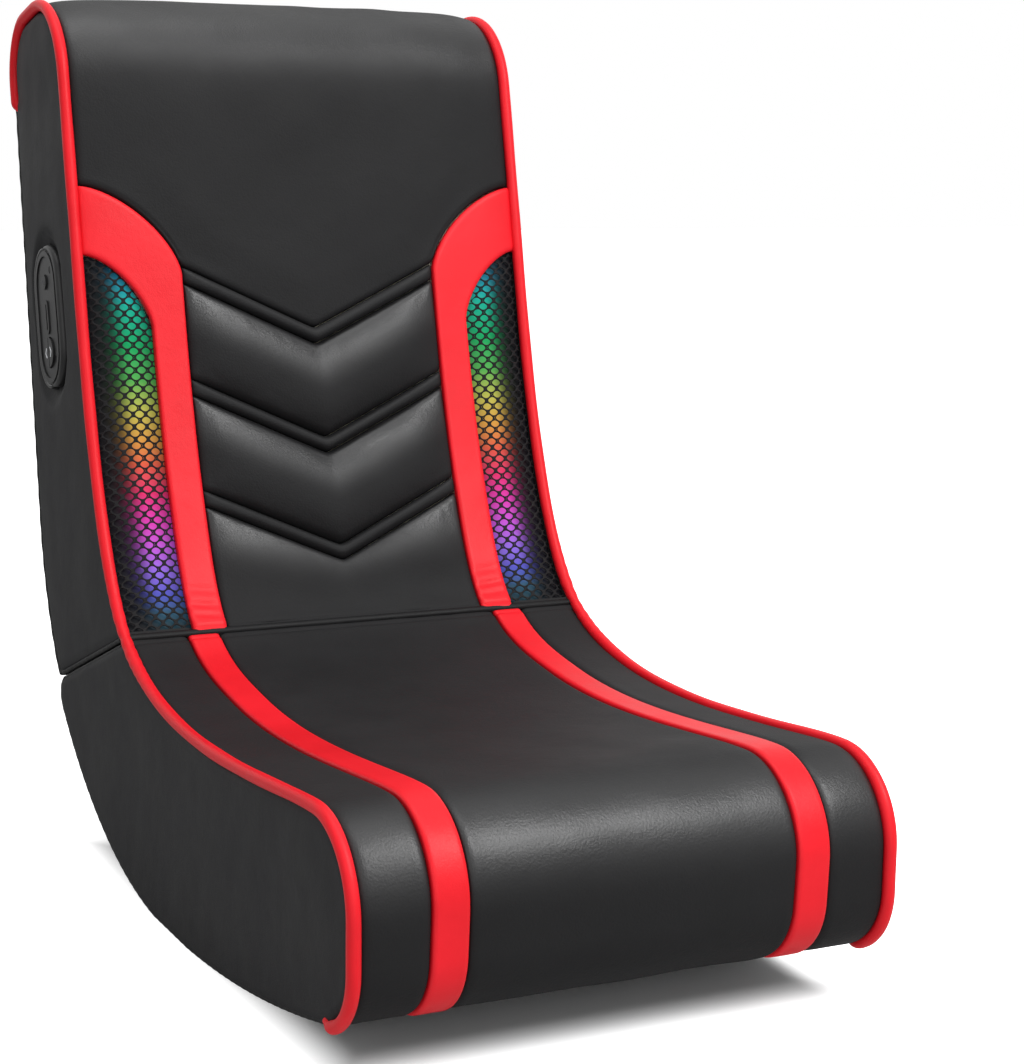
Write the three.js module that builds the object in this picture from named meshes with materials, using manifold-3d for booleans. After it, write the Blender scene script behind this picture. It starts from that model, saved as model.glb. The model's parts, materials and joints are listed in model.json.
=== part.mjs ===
// Gaming rocker chair: a curved floor seat and a folding padded back.
//
// Units are millimetres and degrees. The chair faces -Y, its left side as seen
// from the front is -X, and +Z is up. The origin is on the floor, under the
// middle of the chair's outer box. Seat sizes are measured from the front edge
// of the seat, and back sizes from the crease, up along the leaning back.
//
// The seat is a pair of rocker boards with rails, a deck and a foam cushion.
// The back is a lighter frame of the same build. Two butt hinges join them at
// the crease, so the back folds forward until its top roll meets the seat.

import * as THREE from 'three';
import { mergeVertices } from 'three/addons/utils/BufferGeometryUtils.js';
import Module from 'manifold-3d';

const wasm = await Module();
wasm.setup();

// Whole chair
const edgeReach = 206.5; // middle plane to the centre of the side piping
const pipingDiameter = 10;
const gap = 0.3; // between pieces that touch
const paddingGap = 0.8; // between foam and the cover over it
const overrun = 60; // how far a cutter runs past what it cuts

// Side shape of the seat
const frontRollRadius = 62;
const frontRollHeight = 186;
const frontToeRadius = 52;
const restReach = 394; // front edge to the lowest point of the rockers
const frontRockerRadius = 1450;
const rearRockerRadius = 425;
const restFlatDepth = 1; // flattened sole where the chair stands
const rearCornerRadius = 18;
const creaseReach = 489;
const creaseHeight = 216;
const rollPull = 74; // how far the roll's level top leads into the dip
const creasePull = 130; // how far the rise before the crease leads into the dip
const seatRiseAngle = 35; // slope of the seat at the crease

// Side shape of the back
const reclineAngle = 12.3; // lean of the back from upright
const buttAngle = 20; // fall of the joint faces behind the crease
const backRiseAngle = 42; // lean of the back's face at the crease, from its own height
const backRisePull = 50;
const lumbarHeight = 290; // where the face becomes straight
const lumbarPull = 175;
const lumbarSetback = 56.5; // crease to the straight face, front to rear
const backHeight = 557;
const topRollRadius = 60;
const topRearRadius = 24;
const topThickness = 157;
const heelThickness = 181;
const heelHeight = 113;
const heelRadius = 287;
const heelCornerRadius = 10;
const headSeamDrop = 22; // rear seam under the top roll's rear corner

// Padding and covers
const crownHeight = 6;
const crownFade = 120; // length over which the crown dies out at an end
const coverThickness = 2;
const baseThickness = 1.5;
const sideDome = 1.5;
const sideRounding = 9;
const padOverBoard = 26;
const toeFoamHeight = 46;

// Stripes, arches, mesh and chevrons, as distances from the middle plane and up the back
const stripeInner = 126;
const stripeOuter = 153;
const stripePuff = 0.8;
const archInner = 117;
const archOuter = 147;
const archInnerRise = 293; // where the arch's inner edge begins to sweep outward
const archOuterRise = 290;
const archTop = 397;
const archUnder = 342;
const archPuff = 1.5;
const chevronRise = 55; // apex to wing tip
const chevronPitch = 97;
const lowestApex = 61;
const bandTall = 14;
const bandPuff = 3;
const panelPuff = 7;
const headPuff = 1.5;
const meshThickness = 1.2;
const meshSink = 2; // how far the mesh lies under the crown
const lightRecess = 12;
const stripWidth = 12;
const stripThickness = 2.5;
const lightStart = 60; // up the back

// Seat frame
const rockerBoard = 28;
const basePanelThickness = 10;
const basePanelShare = 0.607; // its end behind the lowest point, as a share of the rear rocker radius
const deckThickness = 18;
const deckFront = 52;
const deckEndShare = 0.527; // the same for the deck
const deckFrontHeight = 86;
const deckSlope = 4;
const railWidth = 40;
const frontRailWidth = 66;
const frontRailTall = 60; // stands on the deck, under the front roll
const middleRailTall = 52;
const rearRailTall = 18;
const hingeRailStart = 10;
const hingeRailWidth = 38;
const hingeRailTall = 26;

// Back frame
const backBoard = 9;
const backPanelThickness = 3;
const backFoam = 28;
const backRailWidth = 32;
const backRailThickness = 15;
const middleRailHeight = 330;
const backHingeRailStart = 18;
const backHingeRailTall = 14;

// Hinges
const axisDepth = 4.5; // crease surface to the hinge axis
const foldRange = 100;
const knuckleRadius = 3;
const pinRadius = 1.5;
const pinClearance = 0.35;
const leafThickness = 1.5;
const leafLength = 45;
const hingeWidth = 70;
const hingeReach = 118; // middle plane to the middle of a hinge
const hubClearance = 1.2;

// Rear of the back
const bindingWidth = 18;
const bindingTall = 5;
const pocketWidth = 108;
const pocketTall = 104;
const pocketDepth = 28;
const pocketWall = 2.5;
const pocketFromBinding = 12;
const pocketFromCorner = 60; // up the rear, from the hinge end's corner

// Control panel on the left side
const panelLength = 118;
const panelWidth = 64;
const panelHeight = 286;
const panelSetback = 146;
const bezelStand = 3; // bezel top above the domed side
const housingInset = 5;
const housingWall = 2.4;
const circuitThickness = 1.6;
const circuitWidth = 30;
const powerRadius = 6.5;
const arrowRadius = 13;
const arrowSplit = 1.2;
const buttonSpacing = 62;
const buttonTravel = 1;
const buttonStand = 0.5;
const buttonLip = 1.5;
const buttonClearance = 0.35;
const screwSetback = 17; // ahead of the buttons' line
const screwSpacing = 78;
const screwHeadRadius = 3;
const screwHeadTall = 1.6;
const screwShankRadius = 1.4;
const bossWall = 2;
const trayInset = 5.5; // bezel's outline to its sunken middle
const trayDepth = 1.2;
const ribWidth = 10;
const ribLength = 30;
const ribSlot = 3;

// Sizes that follow from the ones above
const rad = THREE.MathUtils.degToRad;
const pipingRadius = pipingDiameter / 2;
const padReach = edgeReach - pipingRadius - gap; // outer side of boards, foam and covers
const buttHalf = leafThickness + gap * 1.5; // joint's middle plane to either end face
const creaseRelief = axisDepth * Math.tan(rad(foldRange / 2)) + gap;
const hubRadius = knuckleRadius + hubClearance;
const bezelTop = edgeReach + sideDome + bezelStand;
const boardInner = padReach - rockerBoard;
const backBoardInner = padReach - backBoard;
const stripReach = (archOuter + padReach) / 2; // middle plane to the middle of a light strip
const basePanelReach = restReach + rearRockerRadius * basePanelShare;
const deckReach = restReach + rearRockerRadius * deckEndShare;

const origin = new THREE.Vector2();
const crease = new THREE.Vector2(creaseReach, creaseHeight);
const lean = rad(reclineAngle);
const seatButt = new THREE.Vector2(Math.cos(rad(buttAngle)), -Math.sin(rad(buttAngle)));
const seatInward = new THREE.Vector2(seatButt.y, -seatButt.x);
const axisPoint = crease.clone().addScaledVector(seatButt, axisDepth);
const backButt = seatButt.clone().rotateAround(origin, lean);
const backInward = new THREE.Vector2(-backButt.y, backButt.x);
const backCrease = crease.clone().sub(axisPoint).rotateAround(origin, lean);

const paints = {
  leather: { color: 0x2b2b2d, roughness: 0.5, metalness: 0 },
  red: { color: 0xe8222c, roughness: 0.45, metalness: 0 },
  cloth: { color: 0x1c1c1e, roughness: 0.85, metalness: 0 },
  foam: { color: 0xd8d2bf, roughness: 0.95, metalness: 0 },
  wood: { color: 0xb98f5c, roughness: 0.7, metalness: 0 },
  steel: { color: 0x9a9da1, roughness: 0.35, metalness: 0.9 },
  plastic: { color: 0x17181a, roughness: 0.4, metalness: 0 },
  circuit: { color: 0x1f5a36, roughness: 0.5, metalness: 0 },
  light: { color: 0xf2f4f6, roughness: 0.3, metalness: 0 },
};

const chair = new THREE.Group();
const seat = new THREE.Group();
const back = new THREE.Group();
back.position.set(0, axisPoint.x, axisPoint.y);
back.rotation.x = -lean;
chair.add(seat, back);

function place(group, name, geometry, paint) {
  const mesh = new THREE.Mesh(geometry, new THREE.MeshStandardMaterial(paints[paint]));
  mesh.name = name;
  group.add(mesh);
  return mesh;
}

// Solids from points and triangles

function meshOf(points, faces) {
  let volume = 0;
  for (const [a, b, c] of faces) {
    volume += points[a].dot(new THREE.Vector3().crossVectors(points[b], points[c]));
  }
  const index = faces.flatMap(([a, b, c]) => (volume > 0 ? [a, b, c] : [a, c, b]));
  const geometry = new THREE.BufferGeometry();
  const positions = points.flatMap((p) => [p.x, p.y, p.z]);
  geometry.setAttribute('position', new THREE.Float32BufferAttribute(positions, 3));
  geometry.setIndex(index);
  geometry.computeVertexNormals();
  return geometry;
}

function toManifold(geometry) {
  const bare = geometry.clone();
  bare.deleteAttribute('normal');
  bare.deleteAttribute('uv');
  const merged = mergeVertices(bare, gap / 1000);
  const vertProperties = new Float32Array(merged.attributes.position.array);
  const triVerts = new Uint32Array(merged.index.array);
  return new wasm.Manifold(new wasm.Mesh({ numProp: 3, vertProperties, triVerts }));
}

function fromManifold(body) {
  const mesh = body.getMesh();
  const geometry = new THREE.BufferGeometry();
  geometry.setAttribute('position', new THREE.Float32BufferAttribute(Array.from(mesh.vertProperties), 3));
  geometry.setIndex(Array.from(mesh.triVerts));
  geometry.computeVertexNormals();
  return geometry;
}

function cut(geometry, ...cutters) {
  let body = toManifold(geometry);
  for (const cutter of cutters) body = body.subtract(toManifold(cutter));
  return fromManifold(body);
}

function join(geometry, ...others) {
  let body = toManifold(geometry);
  for (const other of others) body = body.add(toManifold(other));
  return fromManifold(body);
}

// Outlines lie in the side view: x runs front to rear and y runs up

// Triangles over an outline, in its own sense. Points in the middle of a straight
// run are left out by the triangulation, so the edges there are split again.
function lid(outline) {
  const count = outline.length;
  const area = (face) => THREE.ShapeUtils.area(face.map((i) => outline[i]));
  const found = THREE.ShapeUtils.triangulateShape(outline, []);
  const total = found.reduce((sum, face) => sum + area(face), 0);
  const flip = total * THREE.ShapeUtils.area(outline) < 0;
  const waiting = found.map(([a, b, c]) => (flip ? [a, c, b] : [a, b, c]));
  const edges = new Set(waiting.flatMap(([a, b, c]) => [`${a} ${b}`, `${b} ${c}`, `${c} ${a}`]));
  const faces = [];
  while (waiting.length) {
    const [a, b, c] = waiting.pop();
    const open = [[a, b, c], [b, c, a], [c, a, b]]
      .find(([p, q]) => (p + 1) % count !== q && !edges.has(`${q} ${p}`));
    if (!open) {
      faces.push([a, b, c]);
      continue;
    }
    const [p, q, r] = open;
    const middle = (p + 1) % count;
    waiting.push([p, middle, r], [middle, q, r]);
    edges.add(`${middle} ${r}`);
    edges.add(`${r} ${middle}`);
  }
  return faces;
}

function plate(outline, x0, x1) {
  return loft([x0, x1].map((x) => ({ x, outline })));
}

function box(x0, x1, y0, y1, z0, z1) {
  const geometry = new THREE.BoxGeometry(x1 - x0, y1 - y0, z1 - z0);
  geometry.translate((x0 + x1) / 2, (y0 + y1) / 2, (z0 + z1) / 2);
  return geometry;
}

// A round bar along X
function bar(radius, x0, x1, y, z, sides) {
  const geometry = new THREE.CylinderGeometry(radius, radius, x1 - x0, sides);
  geometry.rotateZ(-Math.PI / 2);
  geometry.translate((x0 + x1) / 2, y, z);
  return geometry;
}

// A spine is a sampled side-view curve whose normals point to its left

function spineOf(...pieces) {
  const nodes = [];
  for (const [curve, steps] of pieces) {
    for (let i = nodes.length ? 1 : 0; i <= steps; i++) {
      const p = curve.getPoint(i / steps);
      const d = curve.getTangent(i / steps);
      const last = nodes.at(-1);
      const s = last ? last.s + last.p.distanceTo(p) : 0;
      nodes.push({ p, n: new THREE.Vector2(-d.y, d.x), s });
    }
  }
  return nodes;
}

function lengthOf(spine) {
  return spine.at(-1).s;
}

// The point at a length along a spine, moved off it along the normal
function lifted(spine, s, lift) {
  let k = spine.findIndex((node) => node.s >= s);
  if (k < 0) k = spine.length - 1;
  if (k === 0) k = 1;
  const [a, b] = [spine[k - 1], spine[k]];
  const t = (s - a.s) / (b.s - a.s);
  const normal = a.n.clone().lerp(b.n, t).normalize();
  return a.p.clone().lerp(b.p, t).addScaledVector(normal, lift);
}

// Two lengths along a spine with its own nodes in between
function stations(spine, from, to) {
  if (from > to) return stations(spine, to, from).reverse();
  const margin = pipingRadius / 4;
  const inner = spine.map((node) => node.s).filter((s) => s > from + margin && s < to - margin);
  return [from, ...inner, to];
}

function offsetLine(spine, from, to, lift) {
  return stations(spine, from, to).map((s) => lifted(spine, s, lift));
}

// The part of an open line where a signed measure is positive
function clipLine(points, side) {
  const kept = [];
  points.forEach((p, i) => {
    const here = side(p);
    const before = i > 0 ? side(points[i - 1]) : here;
    if (here * before < 0) kept.push(points[i - 1].clone().lerp(p, before / (before - here)));
    if (here >= 0) kept.push(p);
  });
  return kept;
}

function arc(centre, radius, fromAngle, toAngle, clockwise) {
  return new THREE.EllipseCurve(centre.x, centre.y, radius, radius, fromAngle, toAngle, clockwise, 0);
}

function line(from, to) {
  return new THREE.LineCurve(from, to);
}

function angleTo(from, to) {
  return Math.atan2(to.y - from.y, to.x - from.x);
}

// The centre of a fillet between a large circle's inside and a straight face
function filletCentre(circle, circleRadius, facePoint, faceDirection, faceInward, radius) {
  const start = facePoint.clone().addScaledVector(faceInward, radius);
  const offset = start.clone().sub(circle);
  const half = offset.dot(faceDirection);
  const reach = circleRadius - radius;
  const t = -half + Math.sqrt(half * half - offset.lengthSq() + reach * reach);
  return start.addScaledVector(faceDirection, t);
}

// Where two lines meet
function meeting(p, d, q, e) {
  const w = q.clone().sub(p);
  const t = (w.x * e.y - w.y * e.x) / (d.x * e.y - d.y * e.x);
  return p.clone().addScaledVector(d, t);
}

// Places along the joint faces: t down from the hinge axis, h into the seat or the back
function seatJoint(t, h) {
  return axisPoint.clone().addScaledVector(seatButt, t).addScaledVector(seatInward, h);
}

function backJoint(t, h) {
  return origin.clone().addScaledVector(backButt, t).addScaledVector(backInward, h);
}

// Joins rings of equal point counts, which follow each other in one list, and closes the ends
function sheath(points, count, ends = fan(count)) {
  const last = points.length - count;
  const faces = ends.map(([a, b, c]) => [a, c, b]);
  for (const face of ends) faces.push(face.map((i) => last + i));
  for (let base = 0; base < last; base += count) {
    for (let i = 0; i < count; i++) {
      const a = base + i;
      const b = base + ((i + 1) % count);
      faces.push([a, b, b + count], [a, b + count, a + count]);
    }
  }
  return meshOf(points, faces);
}

function fan(count) {
  return Array.from({ length: count - 2 }, (_, i) => [0, i + 1, i + 2]);
}

// Joins outlines of equal point counts at different places across the chair
function loft(rings) {
  const points = rings.flatMap(({ x, outline }) => outline.map((p) => new THREE.Vector3(x, p.x, p.y)));
  return sheath(points, rings[0].outline.length, lid(rings[0].outline));
}

// A closed slab between an outer and an inner grid of points
function slab(cols, rows, outer, inner) {
  const points = [];
  for (const layer of [outer, inner]) {
    for (let j = 0; j <= rows; j++) {
      for (let i = 0; i <= cols; i++) points.push(layer(i, j));
    }
  }
  const half = (cols + 1) * (rows + 1);
  const at = (i, j) => j * (cols + 1) + i;
  const faces = [];
  for (let j = 0; j < rows; j++) {
    for (let i = 0; i < cols; i++) {
      const [a, b, c, d] = [at(i, j), at(i + 1, j), at(i + 1, j + 1), at(i, j + 1)];
      faces.push([a, b, c], [a, c, d]);
      faces.push([half + a, half + c, half + b], [half + a, half + d, half + c]);
    }
  }
  const rim = [];
  for (let i = 0; i < cols; i++) rim.push(at(i, 0));
  for (let j = 0; j < rows; j++) rim.push(at(cols, j));
  for (let i = cols; i > 0; i--) rim.push(at(i, rows));
  for (let j = rows; j > 0; j--) rim.push(at(0, j));
  rim.forEach((a, k) => {
    const b = rim[(k + 1) % rim.length];
    faces.push([b, a, half + a], [b, half + a, half + b]);
  });
  return meshOf(points, faces);
}

// Side shapes

const sole = frontRockerRadius - restFlatDepth;
const frontCentre = new THREE.Vector2(restReach, sole);
const rearCentre = new THREE.Vector2(restReach, rearRockerRadius - restFlatDepth);
const toeCentre = new THREE.Vector2(
  frontToeRadius,
  sole - Math.sqrt((frontRockerRadius - frontToeRadius) ** 2 - (restReach - frontToeRadius) ** 2),
);
const rollCentre = new THREE.Vector2(frontRollRadius, frontRollHeight - frontRollRadius);

// From under the toe, up round the front roll and back to the crease
function seatTopSpine() {
  const toeAngle = angleTo(frontCentre, toeCentre) + 2 * Math.PI;
  const rise = new THREE.Vector2(Math.cos(rad(seatRiseAngle)), Math.sin(rad(seatRiseAngle)));
  const rollTop = new THREE.Vector2(frontRollRadius, frontRollHeight);
  const lead = new THREE.Vector2(frontRollRadius + rollPull, frontRollHeight);
  const dip = crease.clone().addScaledVector(rise, -creasePull);
  return spineOf(
    [arc(toeCentre, frontToeRadius, toeAngle, Math.PI, true), 5],
    [line(new THREE.Vector2(0, toeCentre.y), new THREE.Vector2(0, rollCentre.y)), 1],
    [arc(rollCentre, frontRollRadius, Math.PI, Math.PI / 2, true), 7],
    [new THREE.CubicBezierCurve(rollTop, lead, dip, crease.clone()), 12],
  );
}

// From under the toe, along the sole, round the rear corner and up the joint face
function seatSoleSpine() {
  const flatStart = new THREE.Vector2(restReach - Math.sqrt(2 * frontRockerRadius * restFlatDepth), 0);
  const flatEnd = new THREE.Vector2(restReach + Math.sqrt(2 * rearRockerRadius * restFlatDepth), 0);
  const hub = seatJoint(0, buttHalf);
  const corner = filletCentre(rearCentre, rearRockerRadius, hub, seatButt, seatInward, rearCornerRadius);
  const heel = angleTo(rearCentre, corner);
  const face = angleTo(seatInward, origin);
  return spineOf(
    [arc(frontCentre, frontRockerRadius, angleTo(frontCentre, toeCentre), angleTo(frontCentre, flatStart)), 6],
    [line(flatStart, flatEnd), 1],
    [arc(rearCentre, rearRockerRadius, angleTo(rearCentre, flatEnd), heel), 12],
    [arc(corner, rearCornerRadius, heel, face), 4],
    [line(corner.clone().addScaledVector(seatInward, -rearCornerRadius), hub), 1],
  );
}

// The back is drawn in its own leaning frame, from the hinge axis
const faceReach = backCrease.x + lumbarSetback;
const topLevel = backCrease.y + backHeight;
const topRear = faceReach + topThickness;
const seamLevel = topLevel - topRearRadius - headSeamDrop;

// From the crease up the front and over the top roll to the rear seam
function backFrontSpine() {
  const rise = new THREE.Vector2(Math.sin(rad(backRiseAngle)), Math.cos(rad(backRiseAngle)));
  const lumbarTop = new THREE.Vector2(faceReach, backCrease.y + lumbarHeight);
  const lumbarLow = new THREE.Vector2(faceReach, lumbarTop.y - lumbarPull);
  const lead = backCrease.clone().addScaledVector(rise, backRisePull);
  const archEnd = new THREE.Vector2(faceReach, backCrease.y + archTop);
  const front = new THREE.Vector2(faceReach + topRollRadius, topLevel - topRollRadius);
  const rear = new THREE.Vector2(topRear - topRearRadius, topLevel - topRearRadius);
  return spineOf(
    [new THREE.CubicBezierCurve(backCrease.clone(), lead, lumbarLow, lumbarTop), 14],
    [line(lumbarTop, archEnd), 3],
    [line(archEnd, new THREE.Vector2(faceReach, front.y)), 2],
    [arc(front, topRollRadius, Math.PI, Math.PI / 2, true), 7],
    [line(new THREE.Vector2(front.x, topLevel), new THREE.Vector2(rear.x, topLevel)), 2],
    [arc(rear, topRearRadius, Math.PI / 2, 0, true), 4],
    [line(new THREE.Vector2(topRear, rear.y), new THREE.Vector2(topRear, seamLevel)), 1],
  );
}

// From the rear seam down the rear, round the hinge end's corner and along the joint face
function backRearSpine() {
  const seam = new THREE.Vector2(topRear, seamLevel);
  const heelTop = new THREE.Vector2(faceReach + heelThickness, backCrease.y + heelHeight);
  const slant = angleTo(heelTop, seam);
  const outward = new THREE.Vector2(Math.sin(slant), -Math.cos(slant));
  const heel = heelTop.clone().addScaledVector(outward, -heelRadius);
  const hub = backJoint(0, buttHalf);
  const corner = filletCentre(heel, heelRadius, hub, backButt, backInward, heelCornerRadius);
  const turn = angleTo(heel, corner);
  return spineOf(
    [line(seam, heelTop), 5],
    [arc(heel, heelRadius, angleTo(origin, outward), turn, true), 6],
    [arc(corner, heelCornerRadius, turn, angleTo(backInward, origin), true), 3],
    [line(corner.clone().addScaledVector(backInward, -heelCornerRadius), hub), 1],
  );
}

const seatTop = seatTopSpine();
const seatSole = seatSoleSpine();
const backFront = backFrontSpine();
const backRear = backRearSpine();
const seatTopLength = lengthOf(seatTop);
const soleLength = lengthOf(seatSole);
const backFrontLength = lengthOf(backFront);
const backRearLength = lengthOf(backRear);

// Crown of the padding: full in the middle, rolled off to the sides and the ends

function rollOff(x) {
  return Math.sqrt(1 - Math.min(Math.abs(x) / padReach, 1) ** 6);
}

function fade(distance) {
  return THREE.MathUtils.smoothstep(distance, 0, crownFade);
}

function seatCrown(x, s) {
  return crownHeight * rollOff(x) * fade(s) * fade(seatTopLength - s);
}

function backCrown(x, s) {
  return crownHeight * rollOff(x) * fade(s) * fade(backFrontLength - s);
}

// Places across the chair where the padding's surface has its columns
const sideLanes = [0.35, 0.7, 0.92].map((share) => THREE.MathUtils.lerp(stripeOuter, padReach, share));
const seatLanes = [0, stripeInner * 0.67, stripeInner, stripeOuter, ...sideLanes, padReach];
const recessStart = archOuter - pipingRadius / 2;
const recessEnd = recessStart + pipingRadius / 4;
const foamLanes = [0, ...sideLanes, padReach];
const archTurns = 6;
const archLanes = Array.from({ length: archTurns + 1 }, (_, k) => sweepReach(archInner, (k / archTurns) * (Math.PI / 2)));

function between(lanes, from, to) {
  const margin = pipingRadius / 8;
  const all = [...lanes.map((x) => -x), ...lanes].sort((a, b) => a - b);
  const inner = all.filter((x, i) => x > from + margin && x < to - margin && x !== all[i - 1]);
  return [from, ...inner, to];
}

// A cover panel over the padding: spot(i, j) gives the distance across and the length along
function panel(spine, crown, cols, rows, spot, puff, thickness = coverThickness, sink = 0) {
  const at = (i, j, lift) => {
    const [x, s] = spot(i, j);
    const p = lifted(spine, s, crown(x, s) - sink + lift);
    return new THREE.Vector3(x, p.x, p.y);
  };
  const outer = (i, j) => at(i, j, puff(i / cols, j / rows));
  const inner = (i, j) => at(i, j, -thickness);
  return slab(cols, rows, outer, inner);
}

const flat = (height) => () => height;

function puffed(height) {
  return (u, v) => height * Math.sin(Math.PI * v) ** 0.6 * (1 - Math.abs(2 * u - 1) ** 6);
}

// Foam on a frame: outer skin under the covers, inner line given by the frame

function foamSkin(spine, crown, from, to, x, recess = () => 0) {
  const under = coverThickness + paddingGap;
  return stations(spine, from, to).map((s) => lifted(spine, s, crown(x, s) - under - recess(x, s)));
}

function foamSolid(lanes, from, to, ringAt) {
  return loft(between(lanes, from, to).map((x) => ({ x, outline: ringAt(x) })));
}

// Seat frame

const downward = new THREE.Vector2(0, -1);
const deckStart = new THREE.Vector2(deckFront + gap, deckFrontHeight);
const deckAlong = new THREE.Vector2(Math.cos(rad(deckSlope)), Math.sin(rad(deckSlope)));

const behindToe = (p) => p.x - deckFront;
const foamToe = deckFront - gap * 2 - frontRailTall * Math.sin(rad(deckSlope));
const aheadOfHinge = (p) => seatJoint(hingeRailStart, padOverBoard).x - p.x;

function seatRim(depth, toePlane) {
  const rim = offsetLine(seatTop, 0, seatTopLength, -depth).filter((p) => p.y > toeFoamHeight);
  return clipLine(rim, (p) => Math.min(toePlane(p), aheadOfHinge(p))).reverse();
}

function seatBoards() {
  const inside = baseThickness + gap;
  const floor = offsetLine(seatSole, 0, soleLength - hingeRailStart, inside);
  const outline = [...clipLine(floor, behindToe), ...seatRim(padOverBoard, behindToe)];
  place(seat, 'seat_rocker_board_left', plate(outline, -padReach, -boardInner), 'wood');
  place(seat, 'seat_rocker_board_right', plate(outline, boardInner, padReach), 'wood');
}

// Curved panel along the sole, between the boards
function basePanel() {
  const half = boardInner - gap;
  const end = seatSole.find((node) => node.p.x > basePanelReach).s;
  const low = offsetLine(seatSole, 0, end, baseThickness + gap);
  const high = offsetLine(seatSole, 0, end, baseThickness + gap + basePanelThickness);
  const outline = [...clipLine(low, behindToe), ...clipLine(high, behindToe).reverse()];
  place(seat, 'seat_base_panel', plate(outline, -half, half), 'wood');
}

function seatFrame() {
  const deck = new THREE.Group();
  deck.position.set(0, deckStart.x, deckStart.y);
  deck.rotation.x = rad(deckSlope);
  seat.add(deck);
  const half = boardInner - gap;
  const under = -deckThickness - gap;
  const length = (deckReach - deckFront) / Math.cos(rad(deckSlope));
  place(deck, 'seat_deck', box(-half, half, 0, length, -deckThickness, 0), 'wood');
  place(deck, 'seat_front_rail', box(-half, half, 0, frontRailWidth, gap, gap + frontRailTall), 'wood');
  const middle = restReach - deckFront - railWidth / 2;
  place(deck, 'seat_middle_rail', box(-half, half, middle, middle + railWidth, under - middleRailTall, under), 'wood');
  place(deck, 'seat_rear_rail', box(-half, half, length - railWidth, length, under - rearRailTall, under), 'wood');
}

// A rail along the joint face, which carries the hinge leaves
function hingeRail(group, name, jointAt, start, tall, half) {
  const end = hingeRailStart + hingeRailWidth;
  const outline = [
    jointAt(start, buttHalf),
    jointAt(end, buttHalf),
    jointAt(end, buttHalf + tall),
    jointAt(start, buttHalf + tall),
  ];
  place(group, name, plate(outline, -half, half), 'wood');
}

// Seat padding: a deep middle between the boards and a shallow edge over each board

function seatEdgeRing(x) {
  const from = frontToeRadius / 4;
  const to = seatTopLength - creaseRelief;
  return [
    ...foamSkin(seatTop, seatCrown, from, to, x),
    seatJoint(hubRadius, buttHalf + gap),
    seatJoint(hingeRailStart - gap, buttHalf + gap),
    ...seatRim(padOverBoard - gap, (p) => p.x - foamToe),
    new THREE.Vector2(foamToe, toeFoamHeight),
  ];
}

function seatMiddleRing(x) {
  const from = frontToeRadius / 4;
  const to = seatTopLength - creaseRelief;
  const start = hingeRailStart - gap;
  const depth = buttHalf + hingeRailTall + gap;
  const railRear = seatJoint(hingeRailStart + hingeRailWidth, depth);
  const deckRear = meeting(deckStart, deckAlong, railRear, downward);
  const deckUp = new THREE.Vector2(-deckAlong.y, deckAlong.x);
  const onDeck = (along, up) => deckStart.clone().addScaledVector(deckAlong, along).addScaledVector(deckUp, up);
  return [
    ...foamSkin(seatTop, seatCrown, from, to, x),
    seatJoint(hubRadius, buttHalf + gap),
    seatJoint(start, buttHalf + gap),
    seatJoint(start, depth),
    railRear,
    deckRear.add(new THREE.Vector2(0, gap)),
    onDeck(frontRailWidth + gap, gap),
    onDeck(frontRailWidth + gap, gap * 2 + frontRailTall),
    onDeck(-gap * 2, gap * 2 + frontRailTall),
    new THREE.Vector2(foamToe, toeFoamHeight),
  ];
}

function seatPadding() {
  const inner = boardInner - gap;
  const glued = boardInner - rockerBoard / 4;
  const foam = join(
    foamSolid([...foamLanes, stripeInner], -inner, inner, seatMiddleRing),
    foamSolid(foamLanes, -padReach, -glued, seatEdgeRing),
    foamSolid(foamLanes, glued, padReach, seatEdgeRing),
  );
  place(seat, 'seat_cushion_foam', foam, 'foam');
}

function seatCovers() {
  const marks = stations(seatTop, 0, seatTopLength - creaseRelief);
  const seam = gap / 2;
  const covers = [
    ['seat_cover_centre', -stripeInner + seam, stripeInner - seam, 0, 'leather'],
    ['seat_stripe_left', -stripeOuter + seam, -stripeInner - seam, stripePuff, 'red'],
    ['seat_stripe_right', stripeInner + seam, stripeOuter - seam, stripePuff, 'red'],
    ['seat_cover_left', -padReach, -stripeOuter - seam, 0, 'leather'],
    ['seat_cover_right', stripeOuter + seam, padReach, 0, 'leather'],
  ];
  for (const [name, from, to, puff, paint] of covers) {
    const xs = between(seatLanes, from, to);
    const spot = (i, j) => [xs[i], marks[j]];
    const geometry = panel(seatTop, seatCrown, xs.length - 1, marks.length - 1, spot, flat(puff));
    place(seat, name, geometry, paint);
  }
}

// A band of even thickness that follows a spine
function band(spine, from, to, lift0, lift1, x0, x1) {
  const near = offsetLine(spine, from, to, lift0);
  const far = offsetLine(spine, from, to, lift1).reverse();
  return plate([...near, ...far], x0, x1);
}

function seatBase() {
  const end = soleLength - hingeRailStart - hingeRailWidth - gap;
  place(seat, 'seat_base_cover', band(seatSole, gap, end, 0, baseThickness, -padReach, padReach), 'cloth');
}

// A padded side cover: flat inside, with a rounded rim that dies out toward the crease
const rimShares = [[0, 0], [0.7, 0.3], [1, 1]];

// Each run is a spine, two lengths along it and how far inside it the cover ends
function sideCover(runs, corner, sign) {
  const ring = (x, depth) => {
    const outline = runs.flatMap(({ spine, from, to, inset, inward }) => stations(spine, from, to).map((s) => {
      const away = lifted(spine, s, 0).distanceTo(corner);
      return lifted(spine, s, inward * (inset + depth * Math.min(away / crownFade, 1)));
    }));
    return { x: sign * x, outline };
  };
  const rimX = edgeReach - sideDome;
  const rings = rimShares.map(([rise, share]) => ring(rimX + rise * sideDome * 2, share * sideRounding));
  return loft([ring(padReach + gap, 0), ...rings]);
}

const pipedInset = pipingRadius + gap;

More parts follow.
